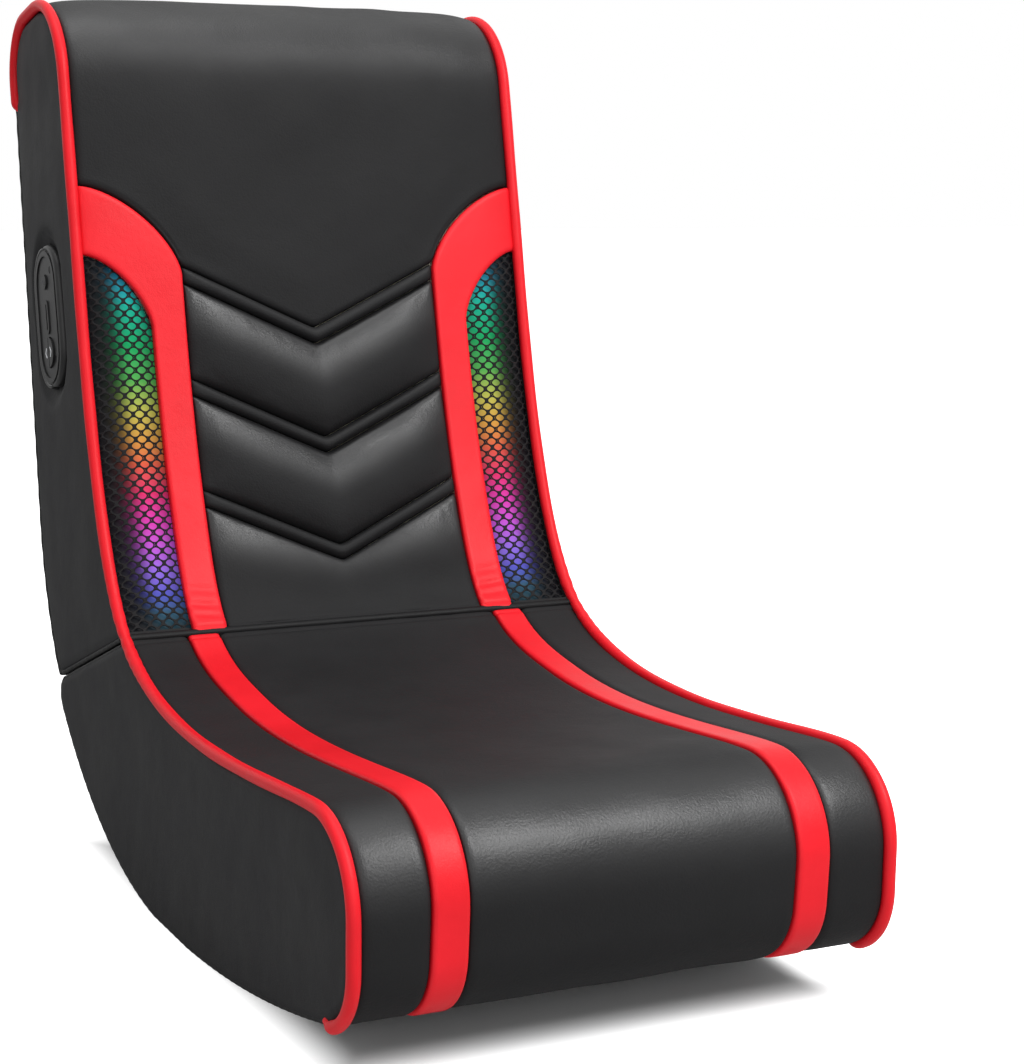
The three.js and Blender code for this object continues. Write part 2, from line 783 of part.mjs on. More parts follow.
function seatSides() {
  const toe = pipingDiameter;
  const runs = [
    { spine: seatTop, from: 0, to: seatTopLength - pipingRadius, inset: pipedInset, inward: -1 },
    { spine: seatSole, from: soleLength - pipingRadius, to: toe, inset: 0, inward: 1 },
  ];
  place(seat, 'seat_side_cover_left', sideCover(runs, crease, -1), 'leather');
  place(seat, 'seat_side_cover_right', sideCover(runs, crease, 1), 'leather');
}

// Everything between two directions about the hinge axis, measured from straight ahead, upward
function sector(centre, fromAngle, toAngle, turn) {
  const steps = 6;
  const reach = overrun * 3;
  const rim = Array.from({ length: steps + 1 }, (_, i) => {
    const a = Math.PI - rad(fromAngle + ((toAngle - fromAngle) * i) / steps) + turn;
    return centre.clone().add(new THREE.Vector2(Math.cos(a), Math.sin(a)).multiplyScalar(reach));
  });
  return [centre, ...rim];
}

// Directions of the crease faces: straight ahead is 0, straight up is 90
const seatFace = -seatRiseAngle;
const backFace = 90 + backRiseAngle + reclineAngle;
const buttFace = 180 + buttAngle;
const notchMiddle = (seatFace + backFace) / 2;
const seatNotch = notchMiddle - foldRange / 2 - 1;
const backNotch = notchMiddle + foldRange / 2 + 1;

// Round cord sewn along a side edge, mitred at the crease so that the fold can close
function piping(spine, from, to, x, cutter) {
  const sides = 8;
  const marks = stations(spine, from, to);
  const points = marks.flatMap((s) => Array.from({ length: sides }, (_, k) => {
    const angle = (2 * Math.PI * (k + 1 / 2)) / sides;
    const p = lifted(spine, s, pipingRadius * Math.sin(angle));
    return new THREE.Vector3(x + pipingRadius * Math.cos(angle), p.x, p.y);
  }));
  return cut(sheath(points, sides), plate(cutter, x - overrun / 2, x + overrun / 2));
}

function seatPiping() {
  const cutter = sector(seatJoint(0, gap / 2), seatNotch, buttFace, 0);
  const end = seatTopLength - gap;
  place(seat, 'seat_piping_left', piping(seatTop, 0, end, -edgeReach, cutter), 'red');
  place(seat, 'seat_piping_right', piping(seatTop, 0, end, edgeReach, cutter), 'red');
}

// Back frame

function backBoards() {
  const inside = baseThickness + gap;
  const seam = seamLevel - gap;
  const tipStart = (padOverBoard + inside) / Math.sin(rad(buttFace - backFace));
  const tip = backJoint(tipStart + inside, buttHalf + inside);
  const face = offsetLine(backFront, 0, backFrontLength, -padOverBoard)
    .filter((p) => p.y > tip.y + padOverBoard / 2 && p.y < seam && p.x < faceReach + padOverBoard + gap);
  const rear = offsetLine(backRear, gap, backRearLength - tipStart, -inside)
    .filter((p) => p.y < seam - gap && p.clone().sub(tip).dot(backButt) > inside);
  const outline = [
    tip,
    ...face,
    new THREE.Vector2(faceReach + padOverBoard, seam),
    new THREE.Vector2(topRear - inside, seam),
    ...rear,
  ];
  const window = plate(stadium(panelWidth / 2 - housingInset + gap, panelLength - 2 * (housingInset - gap)), -edgeReach, 0);
  place(back, 'back_side_board_left', cut(plate(outline, -padReach, -backBoardInner), window), 'wood');
  place(back, 'back_side_board_right', plate(outline, backBoardInner, padReach), 'wood');
}

const panelFront = -backFoam - gap;
const panelLow = backHingeRailStart + hingeRailWidth + backFoam;
const panelHigh = backCrease.y + backHeight - topRollRadius;

function backFrame() {
  const half = backBoardInner - gap;
  const low = panelLow;
  const faceSpine = backFront.filter((node) => node.p.x <= faceReach + gap && node.p.y <= panelHigh + gap);
  const high = lengthOf(faceSpine);
  const sheet = band(backFront, low, high, panelFront, panelFront - backPanelThickness, -half, half);
  place(back, 'back_panel', sheet, 'wood');
  const y0 = faceReach + backFoam + backPanelThickness + gap * 2;
  const y1 = y0 + backRailThickness;
  const top = panelHigh - gap;
  const middle = backCrease.y + middleRailHeight;
  place(back, 'back_top_rail', box(-half, half, y0, y1, top - backRailWidth, top), 'wood');
  place(back, 'back_middle_rail', box(-half, half, y0, y1, middle, middle + backRailWidth), 'wood');
}

// Back padding, recessed behind the mesh for the light strips

function recess(x, s) {
  if (Math.abs(x) < recessEnd - gap || s > archTop + pipingRadius) return 0;
  return s > lightStart ? lightRecess : meshSink;
}

function backRing(x, depth, low) {
  const to = backFrontLength - gap;
  const seam = seamLevel + paddingGap;
  const face = offsetLine(backFront, low, backFrontLength, -depth)
    .filter((p) => p.y < seam - gap && p.x < faceReach + depth + gap)
    .reverse();
  return [
    ...foamSkin(backFront, backCrown, creaseRelief, to, x, recess),
    new THREE.Vector2(topRear - coverThickness - paddingGap, seam),
    new THREE.Vector2(faceReach + depth, seam),
    ...face,
  ];
}

function backEdgeRing(x) {
  const depth = padOverBoard - gap;
  return [
    ...backRing(x, depth, padOverBoard),
    backJoint(padOverBoard / Math.sin(rad(buttFace - backFace)), buttHalf + gap),
    backJoint(hubRadius, buttHalf + gap),
  ];
}

function backMiddleRing(x) {
  const start = backHingeRailStart - gap;
  const depth = buttHalf + backHingeRailTall + gap;
  return [
    ...backRing(x, backFoam, panelLow - backFoam / 2),
    backJoint(hingeRailStart + hingeRailWidth, depth),
    backJoint(start, depth),
    backJoint(start, buttHalf + gap),
    backJoint(hubRadius, buttHalf + gap),
  ];
}

function backPadding() {
  const inner = backBoardInner - gap;
  const outer = backBoardInner;
  const lanes = [...foamLanes, recessStart, recessEnd];
  place(back, 'back_cushion_foam', foamSolid(lanes, -inner, inner, backMiddleRing), 'foam');
  place(back, 'back_edge_foam_left', foamSolid(lanes, -padReach, -outer, backEdgeRing), 'foam');
  place(back, 'back_edge_foam_right', foamSolid(lanes, outer, padReach, backEdgeRing), 'foam');
}

// Front panels of the back

function chevron(apex, x) {
  return apex + (chevronRise * Math.abs(x)) / archInner;
}

// An arch edge sweeps out to the piping along a quarter of an ellipse
function sweepReach(inner, turn) {
  return inner + (padReach - inner) * (1 - Math.cos(turn));
}

function sweepHeight(start, top, inner, x) {
  const u = THREE.MathUtils.clamp((x - inner) / (padReach - inner), 0, 1);
  return start + (top - start) * Math.sqrt(1 - (1 - u) ** 2);
}

function bandApex(k) {
  return lowestApex + k * chevronPitch;
}

function chevronPanels() {
  const seam = gap / 2;
  const edge = archInner - seam;
  const xs = between([0, ...[0.35, 0.7].map((share) => archInner * share)], -edge, edge);
  const cols = xs.length - 1;
  const strips = [['lumbar_panel', () => creaseRelief, (x) => chevron(bandApex(0), x) - seam, 7]];
  for (let k = 0; k < 2; k++) {
    const low = (x) => chevron(bandApex(k) + bandTall, x) + seam;
    const high = (x) => chevron(bandApex(k + 1), x) - seam;
    strips.push([`chevron_panel_${k + 1}`, low, high, 5]);
  }
  for (const [name, low, high, rows] of strips) {
    const spot = (i, j) => [xs[i], low(xs[i]) + ((high(xs[i]) - low(xs[i])) * j) / rows];
    place(back, name, panel(backFront, backCrown, cols, rows, spot, puffed(panelPuff)), 'leather');
  }
  for (let k = 0; k < 3; k++) {
    const low = (x) => chevron(bandApex(k), x) + seam;
    const tall = bandTall - gap;
    const spot = (i, j) => [xs[i], low(xs[i]) + (tall * j) / 2];
    place(back, `chevron_band_${k + 1}`, panel(backFront, backCrown, cols, 2, spot, puffed(bandPuff)), 'leather');
  }
}

function headCover() {
  const lowRows = 4;
  const faceTop = backFront.find((node) => node.p.y >= panelHigh - gap).s;
  const marks = stations(backFront, faceTop, backFrontLength);
  const rows = lowRows + marks.length - 1;
  const xs = between([0, ...archLanes, sideLanes.at(-1)], -padReach, padReach);
  const low = (x) => {
    const sweepEdge = sweepHeight(archInnerRise, archTop, archInner, Math.abs(x));
    return Math.max(chevron(bandApex(2) + bandTall, Math.min(Math.abs(x), archInner)), sweepEdge) + gap;
  };
  const spot = (i, j) => {
    const x = xs[i];
    const s = j < lowRows ? low(x) + ((faceTop - low(x)) * j) / lowRows : marks[j - lowRows];
    return [x, s];
  };
  place(back, 'head_cover', panel(backFront, backCrown, xs.length - 1, rows, spot, puffed(headPuff)), 'leather');
}

// Red arch: a straight band beside the chevrons that sweeps out to the piping at its top
const archStraights = 10;
const straightShare = archStraights / (archStraights + archTurns);

function archSpot(u, v) {
  const seam = gap / 2;
  const t = Math.min(v / straightShare, 1);
  const turn = (Math.max(v - straightShare, 0) / (1 - straightShare)) * (Math.PI / 2);
  const along = (start, top) => creaseRelief + (start - creaseRelief) * t + (top - start) * Math.sin(turn);
  const x = THREE.MathUtils.lerp(sweepReach(archInner + seam, turn), sweepReach(archOuter - seam, turn), u);
  const s = THREE.MathUtils.lerp(along(archInnerRise, archTop - seam), along(archOuterRise, archUnder + seam), u);
  return [Math.min(x, padReach), s];
}

function archesAndMesh() {
  const rows = archStraights + archTurns;
  const cols = 2;
  const meshEdge = archOuter + gap / 2;
  const xs = between(sideLanes.slice(0, 2), meshEdge, padReach);
  const stripLow = lightStart + stripWidth * 2;
  const stripHigh = archOuterRise;
  const strip = [stripReach - stripWidth / 2, stripReach + stripWidth / 2];
  for (const [side, sign] of [['left', -1], ['right', 1]]) {
    const arch = (i, j) => {
      const [x, s] = archSpot(i / cols, j / rows);
      return [sign * x, s];
    };
    place(back, `arch_${side}`, panel(backFront, backCrown, cols, rows, arch, flat(archPuff)), 'red');
    const meshRows = 12;
    const mesh = (i, j) => {
      const high = sweepHeight(archOuterRise, archUnder, archOuter, xs[i]) - gap * 2;
      return [sign * xs[i], creaseRelief + ((high - creaseRelief) * j) / meshRows];
    };
    const net = panel(backFront, backCrown, xs.length - 1, meshRows, mesh, flat(0), meshThickness, meshSink);
    place(back, `light_mesh_${side}`, net, 'cloth');
    const marks = stations(backFront, stripLow, stripHigh);
    const tape = (i, j) => [sign * strip[i], marks[j]];
    const floor = coverThickness + paddingGap + lightRecess - gap * 2 - stripThickness;
    const lights = panel(backFront, backCrown, 1, marks.length - 1, tape, flat(0), stripThickness, floor);
    place(back, `light_strip_${side}`, lights, 'light');
  }
}

function backPiping() {
  const cutter = sector(backJoint(0, gap / 2), backNotch, buttFace - 360, lean);
  const end = backFrontLength - gap;
  place(back, 'back_piping_left', piping(backFront, gap, end, -edgeReach, cutter), 'red');
  place(back, 'back_piping_right', piping(backFront, gap, end, edgeReach, cutter), 'red');
}

// Rear of the back

function backSides() {
  const runs = [
    { spine: backFront, from: pipingRadius, to: backFrontLength, inset: pipedInset, inward: -1 },
    { spine: backRear, from: pipingDiameter, to: backRearLength - pipingDiameter, inset: 0, inward: -1 },
  ];
  const right = sideCover(runs, backCrease, 1);
  const seatOfBezel = stadium(panelWidth / 2 + gap, panelLength + gap * 2);
  const window = stadium(panelWidth / 2 - housingInset + gap, panelLength - 2 * (housingInset - gap));
  const left = cut(
    sideCover(runs, backCrease, -1),
    plate(seatOfBezel, -edgeReach - overrun, -edgeReach),
    plate(window, -edgeReach - overrun, -padReach + overrun),
  );
  place(back, 'back_side_cover_left', left, 'leather');
  place(back, 'back_side_cover_right', right, 'leather');
}

function backRearPieces() {
  const end = backRearLength - hingeRailStart - hingeRailWidth - gap;
  place(back, 'rear_cover', band(backRear, gap, end, 0, -baseThickness, -padReach, padReach), 'cloth');
  const inner = padReach - bindingWidth;
  const corner = backRearLength - backJoint(0, 0).distanceTo(backRear.at(-2).p) - heelCornerRadius;
  const foot = corner - bindingWidth;
  const binding = join(
    band(backRear, gap, corner, gap, bindingTall, -padReach, -inner),
    band(backRear, gap, corner, gap, bindingTall, inner, padReach),
    band(backRear, foot, corner, gap, bindingTall, -padReach, padReach),
  );
  place(back, 'rear_binding', binding, 'cloth');
  place(back, 'power_bank_pocket', pocket(corner, inner), 'cloth');
}

// Pouch sewn to the rear cover, bulging toward its open top
const pouchShares = [0.3, 0.62, 0.85, 0.97, 1, 0.94, 0.82];

function pocket(corner, inner) {
  const bottom = corner - pocketFromCorner;
  const rows = pouchShares.length - 1;
  const cols = 8;
  const x0 = -inner + pocketFromBinding;
  const floor = gap * 2;
  const rim = floor + pocketWall * 2.5;
  const bulge = (i, j) => rim + (pocketDepth - rim) * pouchShares[j] * Math.sin((Math.PI * i) / cols) ** 0.4;
  const grid = (inset, height) => (i, j) => {
    const x = x0 + inset + ((pocketWidth - 2 * inset) * i) / cols;
    const p = lifted(backRear, bottom - inset - (pocketTall * j) / rows, height(i, j));
    return new THREE.Vector3(x, p.x, p.y);
  };
  const outer = slab(cols, rows, grid(0, bulge), grid(0, flat(floor)));
  const thinned = (i, j) => bulge(i, j) - pocketWall;
  const hollow = slab(cols, rows, grid(pocketWall, thinned), grid(pocketWall, flat(floor + pocketWall)));
  return cut(outer, hollow);
}

// Control panel

// A stadium in the side view, centred on the panel, its long axis up the back
function stadium(radius, length, turns = 6) {
  const straight = length / 2 - radius;
  const shape = new THREE.Path();
  shape.absarc(panelSetback, panelHeight + straight, radius, 0, Math.PI);
  shape.absarc(panelSetback, panelHeight - straight, radius, Math.PI, 2 * Math.PI);
  return shape.getPoints(turns);
}

const cupFloor = padReach - backBoard - gap;
const cupTop = edgeReach - gap;
const powerLevel = panelHeight + buttonSpacing / 2;
const arrowLevel = panelHeight - buttonSpacing / 2;
const screwLevels = [['upper', panelHeight + screwSpacing / 2], ['lower', panelHeight - screwSpacing / 2]];
const screwLine = panelSetback - screwSetback;
const trayTop = bezelTop - trayDepth;
const screwSeat = trayTop - screwHeadTall - gap;

function halfDisc(radius, side) {
  const start = side > 0 ? -Math.PI / 2 : Math.PI / 2;
  const curve = new THREE.EllipseCurve(0, 0, radius, radius, start, start + Math.PI);
  const middle = new THREE.Vector2(panelSetback + (side * arrowSplit) / 2, arrowLevel);
  return curve.getPoints(10).map((p) => p.add(middle));
}

function controlPanel() {
  const outerRadius = panelWidth / 2;
  const rim = plate(stadium(outerRadius, panelLength), -bezelTop + gap * 3, -edgeReach - gap);
  const face = plate(stadium(outerRadius - gap * 3, panelLength - gap * 6), -bezelTop, -bezelTop + gap * 4);
  const tray = plate(stadium(outerRadius - trayInset, panelLength - trayInset * 2), -bezelTop - overrun, -trayTop);
  const rib = plate(stadium(ribWidth / 2, ribLength, 3), -bezelTop, -trayTop + gap);
  const slot = plate(stadium(ribSlot / 2, ribLength - ribWidth + ribSlot, 3), -bezelTop - overrun, -trayTop);
  const holes = [
    bar(powerRadius + buttonClearance, -bezelTop - overrun, 0, panelSetback, powerLevel, 20),
    bar(arrowRadius + buttonClearance + arrowSplit / 2, -bezelTop - overrun, 0, panelSetback, arrowLevel, 24),
  ];
  for (const [, level] of screwLevels) {
    holes.push(bar(screwHeadRadius + gap, -bezelTop - overrun, -screwSeat, screwLine, level, 16));
    holes.push(bar(screwShankRadius + gap, -bezelTop - overrun, 0, screwLine, level, 12));
  }
  const bezel = join(cut(join(rim, face), tray), rib);
  place(back, 'control_bezel', cut(bezel, slot, ...holes), 'plastic');
  controlHousing();
  controlButtons();
}

function controlHousing() {
  const radius = panelWidth / 2 - housingInset;
  const length = panelLength - 2 * housingInset;
  const wall = housingWall;
  const cup = plate(stadium(radius, length), -cupTop, -cupFloor);
  const hollow = plate(stadium(radius - wall, length - 2 * wall), -cupTop - overrun, -cupFloor - wall);
  const bosses = screwLevels.map(([, level]) => (
    bar(screwShankRadius + bossWall, -cupTop, -cupFloor - wall / 2, screwLine, level, 16)
  ));
  const bores = screwLevels.map(([, level]) => (
    bar(screwShankRadius + gap, -cupTop - overrun, -cupFloor - wall, screwLine, level, 12)
  ));
  place(back, 'control_housing', cut(join(cut(cup, hollow), ...bosses), ...bores), 'plastic');
  const circuitFloor = cupFloor + wall + gap;
  const y0 = screwLine + screwShankRadius + bossWall + gap;
  const half = length / 2 - radius;
  const circuit = box(
    -circuitFloor - circuitThickness, -circuitFloor,
    y0, y0 + circuitWidth,
    panelHeight - half, panelHeight + half,
  );
  place(back, 'control_circuit', circuit, 'circuit');
  for (const [name, level] of screwLevels) {
    const head = bar(screwHeadRadius, -trayTop + gap, -screwSeat - gap, screwLine, level, 16);
    const shank = bar(screwShankRadius, -screwSeat - gap * 2, -cupFloor - wall - gap, screwLine, level, 12);
    place(back, `control_screw_${name}`, join(head, shank), 'steel');
  }
}

function controlButtons() {
  const cap = -bezelTop - buttonStand;
  const lipTop = -edgeReach + gap * 2;
  const lipEnd = lipTop + buttonLip;
  const stemEnd = -cupFloor - housingWall - circuitThickness - gap * 2 - buttonTravel;
  const stem = powerRadius / 2;
  const power = join(
    bar(powerRadius, cap, lipEnd, panelSetback, powerLevel, 20),
    bar(powerRadius + buttonLip, lipTop, lipEnd, panelSetback, powerLevel, 20),
    bar(stem, lipEnd - gap, stemEnd, panelSetback, powerLevel, 12),
  );
  place(back, 'power_button', power, 'plastic');
  for (const [name, side] of [['previous_button', 1], ['next_button', -1]]) {
    const key = join(
      plate(halfDisc(arrowRadius, side), cap, lipEnd),
      plate(halfDisc(arrowRadius + buttonLip, side), lipTop, lipEnd),
      bar(stem, lipEnd - gap, stemEnd, panelSetback + (side * arrowRadius) / 2, arrowLevel, 12),
    );
    place(back, name, key, 'plastic');
  }
}

// Hinges: two leaves on the joint faces. The seat's leaf holds the pin in its three
// knuckles, and the back's two knuckles turn on it.

function leaf(jointAt, centreX, turns) {
  const x0 = centreX - hingeWidth / 2;
  const centre = jointAt(0, 0);
  const sheet = (t0, t1) => [
    jointAt(t0, gap / 2),
    jointAt(t1, gap / 2),
    jointAt(t1, gap / 2 + leafThickness),
    jointAt(t0, gap / 2 + leafThickness),
  ];
  const start = knuckleRadius + gap * 2;
  const share = hingeWidth / 5;
  const pieces = [];
  for (const k of turns) {
    const a = x0 + share * k + gap / 2;
    const b = x0 + share * (k + 1) - gap / 2;
    pieces.push(bar(knuckleRadius, a, b, centre.x, centre.y, 12));
    pieces.push(plate(sheet(pinRadius + pinClearance, start + gap), a, b));
  }
  return join(plate(sheet(start, leafLength), x0, x0 + hingeWidth), ...pieces);
}

function hinges() {
  for (const [side, x] of [['left', -hingeReach], ['right', hingeReach]]) {
    const half = hingeWidth / 2;
    const pin = bar(pinRadius, x - half, x + half, axisPoint.x, axisPoint.y, 12);
    place(seat, `hinge_seat_leaf_${side}`, join(leaf(seatJoint, x, [0, 2, 4]), pin), 'steel');
    const bore = bar(pinRadius + pinClearance, x - half - overrun, x + half + overrun, 0, 0, 12);
    place(back, `hinge_back_leaf_${side}`, cut(leaf(backJoint, x, [1, 3]), bore), 'steel');
  }
}

seatBoards();
seatFrame();
basePanel();
hingeRail(seat, 'seat_hinge_rail', seatJoint, hingeRailStart, hingeRailTall, boardInner - gap);
seatPadding();
seatCovers();
seatBase();
seatSides();
seatPiping();
backBoards();
backFrame();
hingeRail(back, 'back_hinge_rail', backJoint, backHingeRailStart, backHingeRailTall, backBoardInner - gap);
backPadding();
chevronPanels();
headCover();
archesAndMesh();
backPiping();
backSides();
backRearPieces();
controlPanel();
hinges();

// Stand the chair on the floor with the middle of its outer box over the origin
chair.updateMatrixWorld(true);
const bounds = new THREE.Box3().setFromObject(chair, true);
chair.position.y = -(bounds.min.y + bounds.max.y) / 2;
chair.position.z = -bounds.min.z;

export default chair;
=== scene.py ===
"""Gaming rocker chair: covers, piping, light mesh, rear cloth, control marks, finishes and the studio.

Sizes are in millimetres in the chair's own layout and become metres where a mesh is made.
The chair faces -Y, its left side as seen from the front is -X, and +Z is up.
Everywhere x runs across the chair, s along a side-view curve, and lift stands off that curve.
"""

import json
import math
import re

import bpy
import numpy as np
from mathutils import Matrix, Vector
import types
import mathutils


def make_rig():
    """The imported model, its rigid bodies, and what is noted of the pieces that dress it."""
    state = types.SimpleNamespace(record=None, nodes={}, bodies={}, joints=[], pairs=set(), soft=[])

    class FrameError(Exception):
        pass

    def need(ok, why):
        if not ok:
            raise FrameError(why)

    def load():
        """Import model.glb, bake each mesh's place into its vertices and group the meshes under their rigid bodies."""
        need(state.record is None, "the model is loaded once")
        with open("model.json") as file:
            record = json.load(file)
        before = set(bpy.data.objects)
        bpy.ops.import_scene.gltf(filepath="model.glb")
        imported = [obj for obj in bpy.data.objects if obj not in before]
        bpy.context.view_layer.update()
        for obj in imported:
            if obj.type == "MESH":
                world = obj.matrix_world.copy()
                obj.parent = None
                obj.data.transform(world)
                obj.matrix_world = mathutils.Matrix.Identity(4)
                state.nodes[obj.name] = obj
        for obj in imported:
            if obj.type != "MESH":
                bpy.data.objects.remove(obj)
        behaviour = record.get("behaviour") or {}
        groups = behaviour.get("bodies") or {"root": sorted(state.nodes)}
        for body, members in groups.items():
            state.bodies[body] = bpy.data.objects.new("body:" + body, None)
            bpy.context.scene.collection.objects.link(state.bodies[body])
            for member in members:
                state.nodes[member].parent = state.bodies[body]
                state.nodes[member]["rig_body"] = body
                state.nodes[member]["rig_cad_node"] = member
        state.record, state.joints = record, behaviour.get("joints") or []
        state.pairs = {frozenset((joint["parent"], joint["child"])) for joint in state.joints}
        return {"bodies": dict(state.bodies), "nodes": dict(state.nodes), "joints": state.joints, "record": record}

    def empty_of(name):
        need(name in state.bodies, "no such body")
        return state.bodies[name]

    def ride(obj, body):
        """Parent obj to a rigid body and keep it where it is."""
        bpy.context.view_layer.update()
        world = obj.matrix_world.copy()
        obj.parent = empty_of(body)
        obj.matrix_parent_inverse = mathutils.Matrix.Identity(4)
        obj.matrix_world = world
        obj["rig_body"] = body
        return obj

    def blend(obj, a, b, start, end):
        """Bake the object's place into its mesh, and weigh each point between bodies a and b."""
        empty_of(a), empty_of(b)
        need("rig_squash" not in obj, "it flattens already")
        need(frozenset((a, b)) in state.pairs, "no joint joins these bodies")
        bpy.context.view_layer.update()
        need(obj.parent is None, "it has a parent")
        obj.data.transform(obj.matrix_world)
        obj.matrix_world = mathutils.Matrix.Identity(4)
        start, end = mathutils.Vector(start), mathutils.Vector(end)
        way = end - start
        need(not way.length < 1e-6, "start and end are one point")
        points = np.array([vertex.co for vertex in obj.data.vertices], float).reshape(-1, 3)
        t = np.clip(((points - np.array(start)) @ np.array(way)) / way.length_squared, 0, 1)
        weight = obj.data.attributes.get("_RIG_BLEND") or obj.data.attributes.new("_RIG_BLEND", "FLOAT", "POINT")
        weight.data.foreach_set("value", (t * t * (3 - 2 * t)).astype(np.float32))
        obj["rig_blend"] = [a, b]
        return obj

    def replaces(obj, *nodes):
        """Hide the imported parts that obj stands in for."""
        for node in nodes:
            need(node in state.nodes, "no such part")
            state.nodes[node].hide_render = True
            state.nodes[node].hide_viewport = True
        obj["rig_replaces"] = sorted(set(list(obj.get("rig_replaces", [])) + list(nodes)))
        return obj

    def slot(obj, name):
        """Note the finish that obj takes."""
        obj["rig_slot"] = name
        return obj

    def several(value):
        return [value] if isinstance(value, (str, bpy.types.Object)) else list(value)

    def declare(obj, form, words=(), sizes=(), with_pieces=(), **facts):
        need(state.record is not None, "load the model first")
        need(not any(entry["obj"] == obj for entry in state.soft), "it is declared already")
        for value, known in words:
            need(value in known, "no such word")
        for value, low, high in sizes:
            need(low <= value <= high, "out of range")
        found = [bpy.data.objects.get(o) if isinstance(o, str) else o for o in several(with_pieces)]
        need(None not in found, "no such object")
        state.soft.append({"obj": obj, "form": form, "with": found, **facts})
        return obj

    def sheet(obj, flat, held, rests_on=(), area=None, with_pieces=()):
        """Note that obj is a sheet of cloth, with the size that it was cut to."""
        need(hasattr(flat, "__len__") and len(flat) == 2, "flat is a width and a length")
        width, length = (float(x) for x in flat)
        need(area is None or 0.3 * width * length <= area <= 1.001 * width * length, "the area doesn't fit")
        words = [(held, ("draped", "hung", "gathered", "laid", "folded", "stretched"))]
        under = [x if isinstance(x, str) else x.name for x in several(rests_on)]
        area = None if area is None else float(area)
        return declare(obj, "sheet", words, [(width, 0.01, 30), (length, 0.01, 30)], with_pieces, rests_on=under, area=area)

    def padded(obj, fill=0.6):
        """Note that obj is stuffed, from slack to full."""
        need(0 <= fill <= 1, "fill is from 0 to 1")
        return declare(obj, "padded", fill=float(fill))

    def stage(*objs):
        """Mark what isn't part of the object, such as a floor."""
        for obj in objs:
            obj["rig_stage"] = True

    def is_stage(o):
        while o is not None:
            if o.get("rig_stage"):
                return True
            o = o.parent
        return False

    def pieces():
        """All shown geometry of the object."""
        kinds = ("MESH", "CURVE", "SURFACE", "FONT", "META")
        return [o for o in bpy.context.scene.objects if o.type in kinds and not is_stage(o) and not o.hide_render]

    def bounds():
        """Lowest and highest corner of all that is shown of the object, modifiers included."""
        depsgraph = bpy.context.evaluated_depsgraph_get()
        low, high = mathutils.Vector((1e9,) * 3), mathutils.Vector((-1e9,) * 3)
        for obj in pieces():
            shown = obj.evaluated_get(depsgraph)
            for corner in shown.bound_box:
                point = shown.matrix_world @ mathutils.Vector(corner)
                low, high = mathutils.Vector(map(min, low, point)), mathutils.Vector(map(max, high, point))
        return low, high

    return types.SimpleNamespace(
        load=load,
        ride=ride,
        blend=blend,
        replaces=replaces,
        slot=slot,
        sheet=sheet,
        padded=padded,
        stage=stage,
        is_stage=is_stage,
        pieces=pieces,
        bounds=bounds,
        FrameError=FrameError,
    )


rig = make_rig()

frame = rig.load()
cad_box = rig.bounds()

MM = 0.001
SIDES = (("left", -1), ("right", 1))
SHIFT = 404.86  # layout's front edge to the middle of the chair
EDGE_REACH = 206.5  # middle of the chair to the middle of the piping
PIPING_RADIUS = 5.0
PAD_REACH = EDGE_REACH - PIPING_RADIUS - 0.3
CLOTH_REACH = 203.0
CROWN = 6.0
CROWN_FADE = 120.0
CREASE_RELIEF = 5.7  # crease to the end of a cover
CREASE_ROLL = (5.0, 1.9)  # width and depth of a cover's turn into the crease
STRIPE_INNER, STRIPE_OUTER = 126.0, 153.0
STRIPE_LAP, STRIPE_PUFF = 0.4, 0.9
ARCH_INNER, ARCH_OUTER = 117.0, 147.0
ARCH_INNER_RISE, ARCH_OUTER_RISE = 317.0, 271.0
ARCH_TOP, ARCH_UNDER = 394.0, 335.0
ARCH_LAP, ARCH_PUFF = 0.3, 1.4
SWEEP = 1.55  # 2 is a round quarter, 1 a straight slope
CHEVRON_RISE, CHEVRON_PITCH, LOWEST_APEX, BAND_TALL = 55.0, 97.0, 61.0, 14.0
NET_FLAT = (0.055, 0.336)
LEAN = math.radians(12.3)
BINDING_WIDTH, BINDING_TALL = 20.0, 5.4
BINDING_LIFT = 0.2
JOINT_HALF = 1.95  # joint's middle plane to the face of either butt
HINGE_REACH, HINGE_HALF, LEAF_ROOM = 118.0, 35.0, 48.0  # a hinge's place and half width, and its leaf's room
PANEL_SETBACK, PANEL_HEIGHT, PANEL_LENGTH, PANEL_WIDTH = 146.0, 286.0, 118.0, 64.0
PANEL_HALF = PANEL_LENGTH / 2 - PANEL_WIDTH / 2  # panel's middle to the middle of either round end


# Camera at the photograph's viewing angle

def place_camera():
    data = bpy.data.cameras.new("photo_camera")
    data.lens = 79.51
    data.sensor_fit = "VERTICAL"
    data.sensor_height = 36
    data.clip_end = 50
    camera = bpy.data.objects.new("photo_camera", data)
    bpy.context.collection.objects.link(camera)
    right = Vector((0.8977, -0.4404, 0.0131)).normalized()
    forward = Vector((0.4365, 0.8850, -0.1623)).normalized()
    up = right.cross(forward).normalized()
    turn = Matrix((forward.cross(up), up, -forward)).transposed()
    camera.matrix_world = Matrix.Translation(Vector((-754.4, -1331.4 - SHIFT, 616.6)) * MM) @ turn.to_4x4()
    bpy.context.scene.camera = camera


# Side-view curves: a spine holds points, lengths along them and the normals to their left

def arc(centre, radius, start, end, steps):
    a = np.linspace(start, end, steps)
    return np.stack([centre[0] + radius * np.cos(a), centre[1] + radius * np.sin(a)], 1)


def line(a, b, steps=8):
    return np.linspace(a, b, steps)


def curve(a, b, c, d, steps):
    t = np.linspace(0, 1, steps)[:, None]
    a, b, c, d = (np.asarray(p, float) for p in (a, b, c, d))
    return a * (1 - t) ** 3 + 3 * b * t * (1 - t) ** 2 + 3 * c * t * t * (1 - t) + d * t**3


